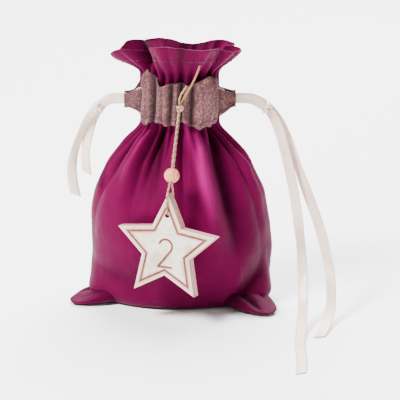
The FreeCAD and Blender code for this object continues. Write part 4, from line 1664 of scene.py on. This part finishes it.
@dataclass
class Bead:
    """The turned bead that slides on the twine; mm."""

    wood: bpy.types.Material
    bend: tuple[float, float, float]
    along: tuple[float, float, float] = (0.1123, 0.43101, 0.89533)
    rise: float = 6.0
    radius: float = 4.5
    bore: float = 1.8
    soft: float = 0.55
    turns: int = 72

    def build(self) -> bpy.types.Object:
        """Turns the bead's section round its bore, with rounded lips."""
        deselect()
        bpy.ops.mesh.primitive_circle_add(vertices=self.turns, radius=1, fill_type="NOTHING")
        piece = bpy.context.object
        piece.name = "wood_bead"
        reach = math.sqrt(self.radius**2 - (self.bore + self.soft) ** 2)
        section = []
        for angle in np.linspace(math.asin((self.bore + self.soft) / self.radius),
                                 math.pi - math.asin((self.bore + self.soft) / self.radius), 48):
            flat = 1 - 0.02 * math.cos(2 * angle)
            section.append((self.radius * math.sin(angle) * flat, self.radius * math.cos(angle)))
        for angle in np.linspace(0, math.pi / 2, 9)[1:]:
            section.append((self.bore + self.soft * (1 - math.sin(angle)),
                            -reach + self.soft * (1 - math.cos(angle)) * 0.9))
        for share in np.linspace(0, 1, 9)[1:-1]:
            section.append((self.bore, (-reach + self.soft) * (1 - 2 * share)))
        for angle in np.linspace(math.pi / 2, 0, 9)[:-1]:
            section.append((self.bore + self.soft * (1 - math.sin(angle)),
                            reach - self.soft * (1 - math.cos(angle)) * 0.9))
        places = np.zeros((len(piece.data.vertices), 3))
        shares = np.linspace(0, len(section), len(places), endpoint=False)
        ring = np.array(section + section[:1])
        for axis, column in ((0, 0), (2, 1)):
            places[:, axis] = np.interp(shares, np.arange(len(ring)), ring[:, column])
        place_vertices(piece, places * MM)
        edit_whole(
            piece,
            lambda: bpy.ops.mesh.spin(
                steps=self.turns, angle=math.tau, center=(0, 0, 0), axis=(0, 0, 1)
            ),
            lambda: bpy.ops.mesh.remove_doubles(threshold=0.00002),
            face_outwards,
        )
        way = Vector(self.along)
        piece.rotation_euler = way.to_track_quat("Z", "X").to_euler()
        piece.location = (Vector(self.bend) + way * self.rise) * MM
        settle(piece)
        dress(piece, self.wood)
        state(piece, "bead", "bead")
        return piece


# ---------------------------------------------------------------- studio
@dataclass
class Studio:
    """The floor, the lights and the camera."""

    aim: tuple[float, float, float] = (0.012, -0.02, 0.068)
    distance: float = 1.0
    elevation: float = 17.0
    lens: float = 150.0
    air: float = 0.3
    lamps: tuple = (
        ((-0.7, -0.5, 1.05), 54, 0.35, (1, 0.985, 0.97)),
        ((0.95, -0.6, 0.45), 1.5, 0.9, (0.97, 0.98, 1)),
        ((0.2, 1.0, 1.5), 170.0, 1.6, (1, 1, 1)),
    )

    def camera(self) -> None:
        """Places the camera in front of and a little above the sack."""
        turn = math.radians(self.elevation)
        back = Vector((0, -math.cos(turn), math.sin(turn)))
        bpy.ops.object.camera_add(location=Vector(self.aim) + back * self.distance)
        camera = bpy.context.object
        camera.rotation_mode = "QUATERNION"
        camera.rotation_quaternion = (-back).to_track_quat("-Z", "Y")
        camera.data.lens = self.lens
        camera.data.clip_end = 50
        bpy.context.scene.camera = camera

    def light(
        self, place: Sequence[float], power: float, size: float, colour: Sequence[float]
    ) -> None:
        """Adds a square soft light that looks at the sack."""
        bpy.ops.object.light_add(type="AREA", location=place)
        lamp = bpy.context.object
        lamp.data.energy = power
        lamp.data.size = size
        lamp.data.color = colour
        lamp.rotation_mode = "QUATERNION"
        lamp.rotation_quaternion = (Vector(self.aim) - Vector(place)).to_track_quat("-Z", "Y")

    def build(self) -> None:
        """Makes the floor, the white surroundings and the lights."""
        deselect()
        bpy.ops.mesh.primitive_plane_add(size=12)
        floor = bpy.context.object
        floor.name = "studio_floor"
        dress(floor, StudioPaper().make())
        world = bpy.data.worlds.new("studio_air")
        bpy.context.scene.world = world
        world.use_nodes = True
        air = world.node_tree.nodes["Background"]
        air.inputs["Color"].default_value = (1, 1, 1, 1)
        air.inputs["Strength"].default_value = self.air
        for lamp in self.lamps:
            self.light(*lamp)


def dress_star(paint: PaintedStar) -> None:
    """Gives the star's own CAD mesh its paint."""
    star = bpy.data.objects[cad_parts["star_tag"].name]
    star.data.materials.clear()
    star.data.materials.append(paint.make())


def main() -> None:
    """Builds the camera and cords first, then the cloth, casing, twine, bead and star."""
    logging.basicConfig(level=logging.INFO, format="%(name)s: %(message)s")
    studio = Studio()
    studio.camera()
    cotton, weave, satin = PlainWeave().make(), GlitterWeave().make(), Satin().make()
    thread = Strand("magenta_thread", tint(112, 10, 70), tint(70, 4, 44), 0.0, 0.02).make()
    pale = Strand("cream_ply", tint(230, 192, 182), tint(186, 132, 122)).make()
    gold = Strand("gold_ply", tint(204, 152, 84), tint(140, 92, 46), 0.4).make()
    form = SackForm()
    twine = Twine(pale, gold)
    hole, up, out = (Vector(v) for v in (twine.hole, twine.up, twine.out))
    made = Ties(satin).build()
    made += twine.build()
    made += ClothBody(form, cotton).build()
    made.append(Ear("right_ear", "right_corner", (41.5, -21.5), -48.0, 21.0, 11.0, 11.5,
                    seed=2.0).build(cotton))
    made.append(Ear("left_ear", "left_corner", (-47.0, -8.0), -158.0, seed=5.0).build(cotton))
    made += Casing(form, weave, satin, thread).build()
    made += HemStitches(form, thread).build()
    made.append(Bead(TurnedBeech().make(), tuple(hole + up * twine.bend_up)).build())
    dress_star(PaintedStar((hole - up * STAR_DROP) * MM, out, STAR_THICK * MM))
    studio.build()
    for piece in made:
        LOG.info("%s: %d faces", piece.name, len(piece.data.polygons))


if __name__ == "__main__":
    main()
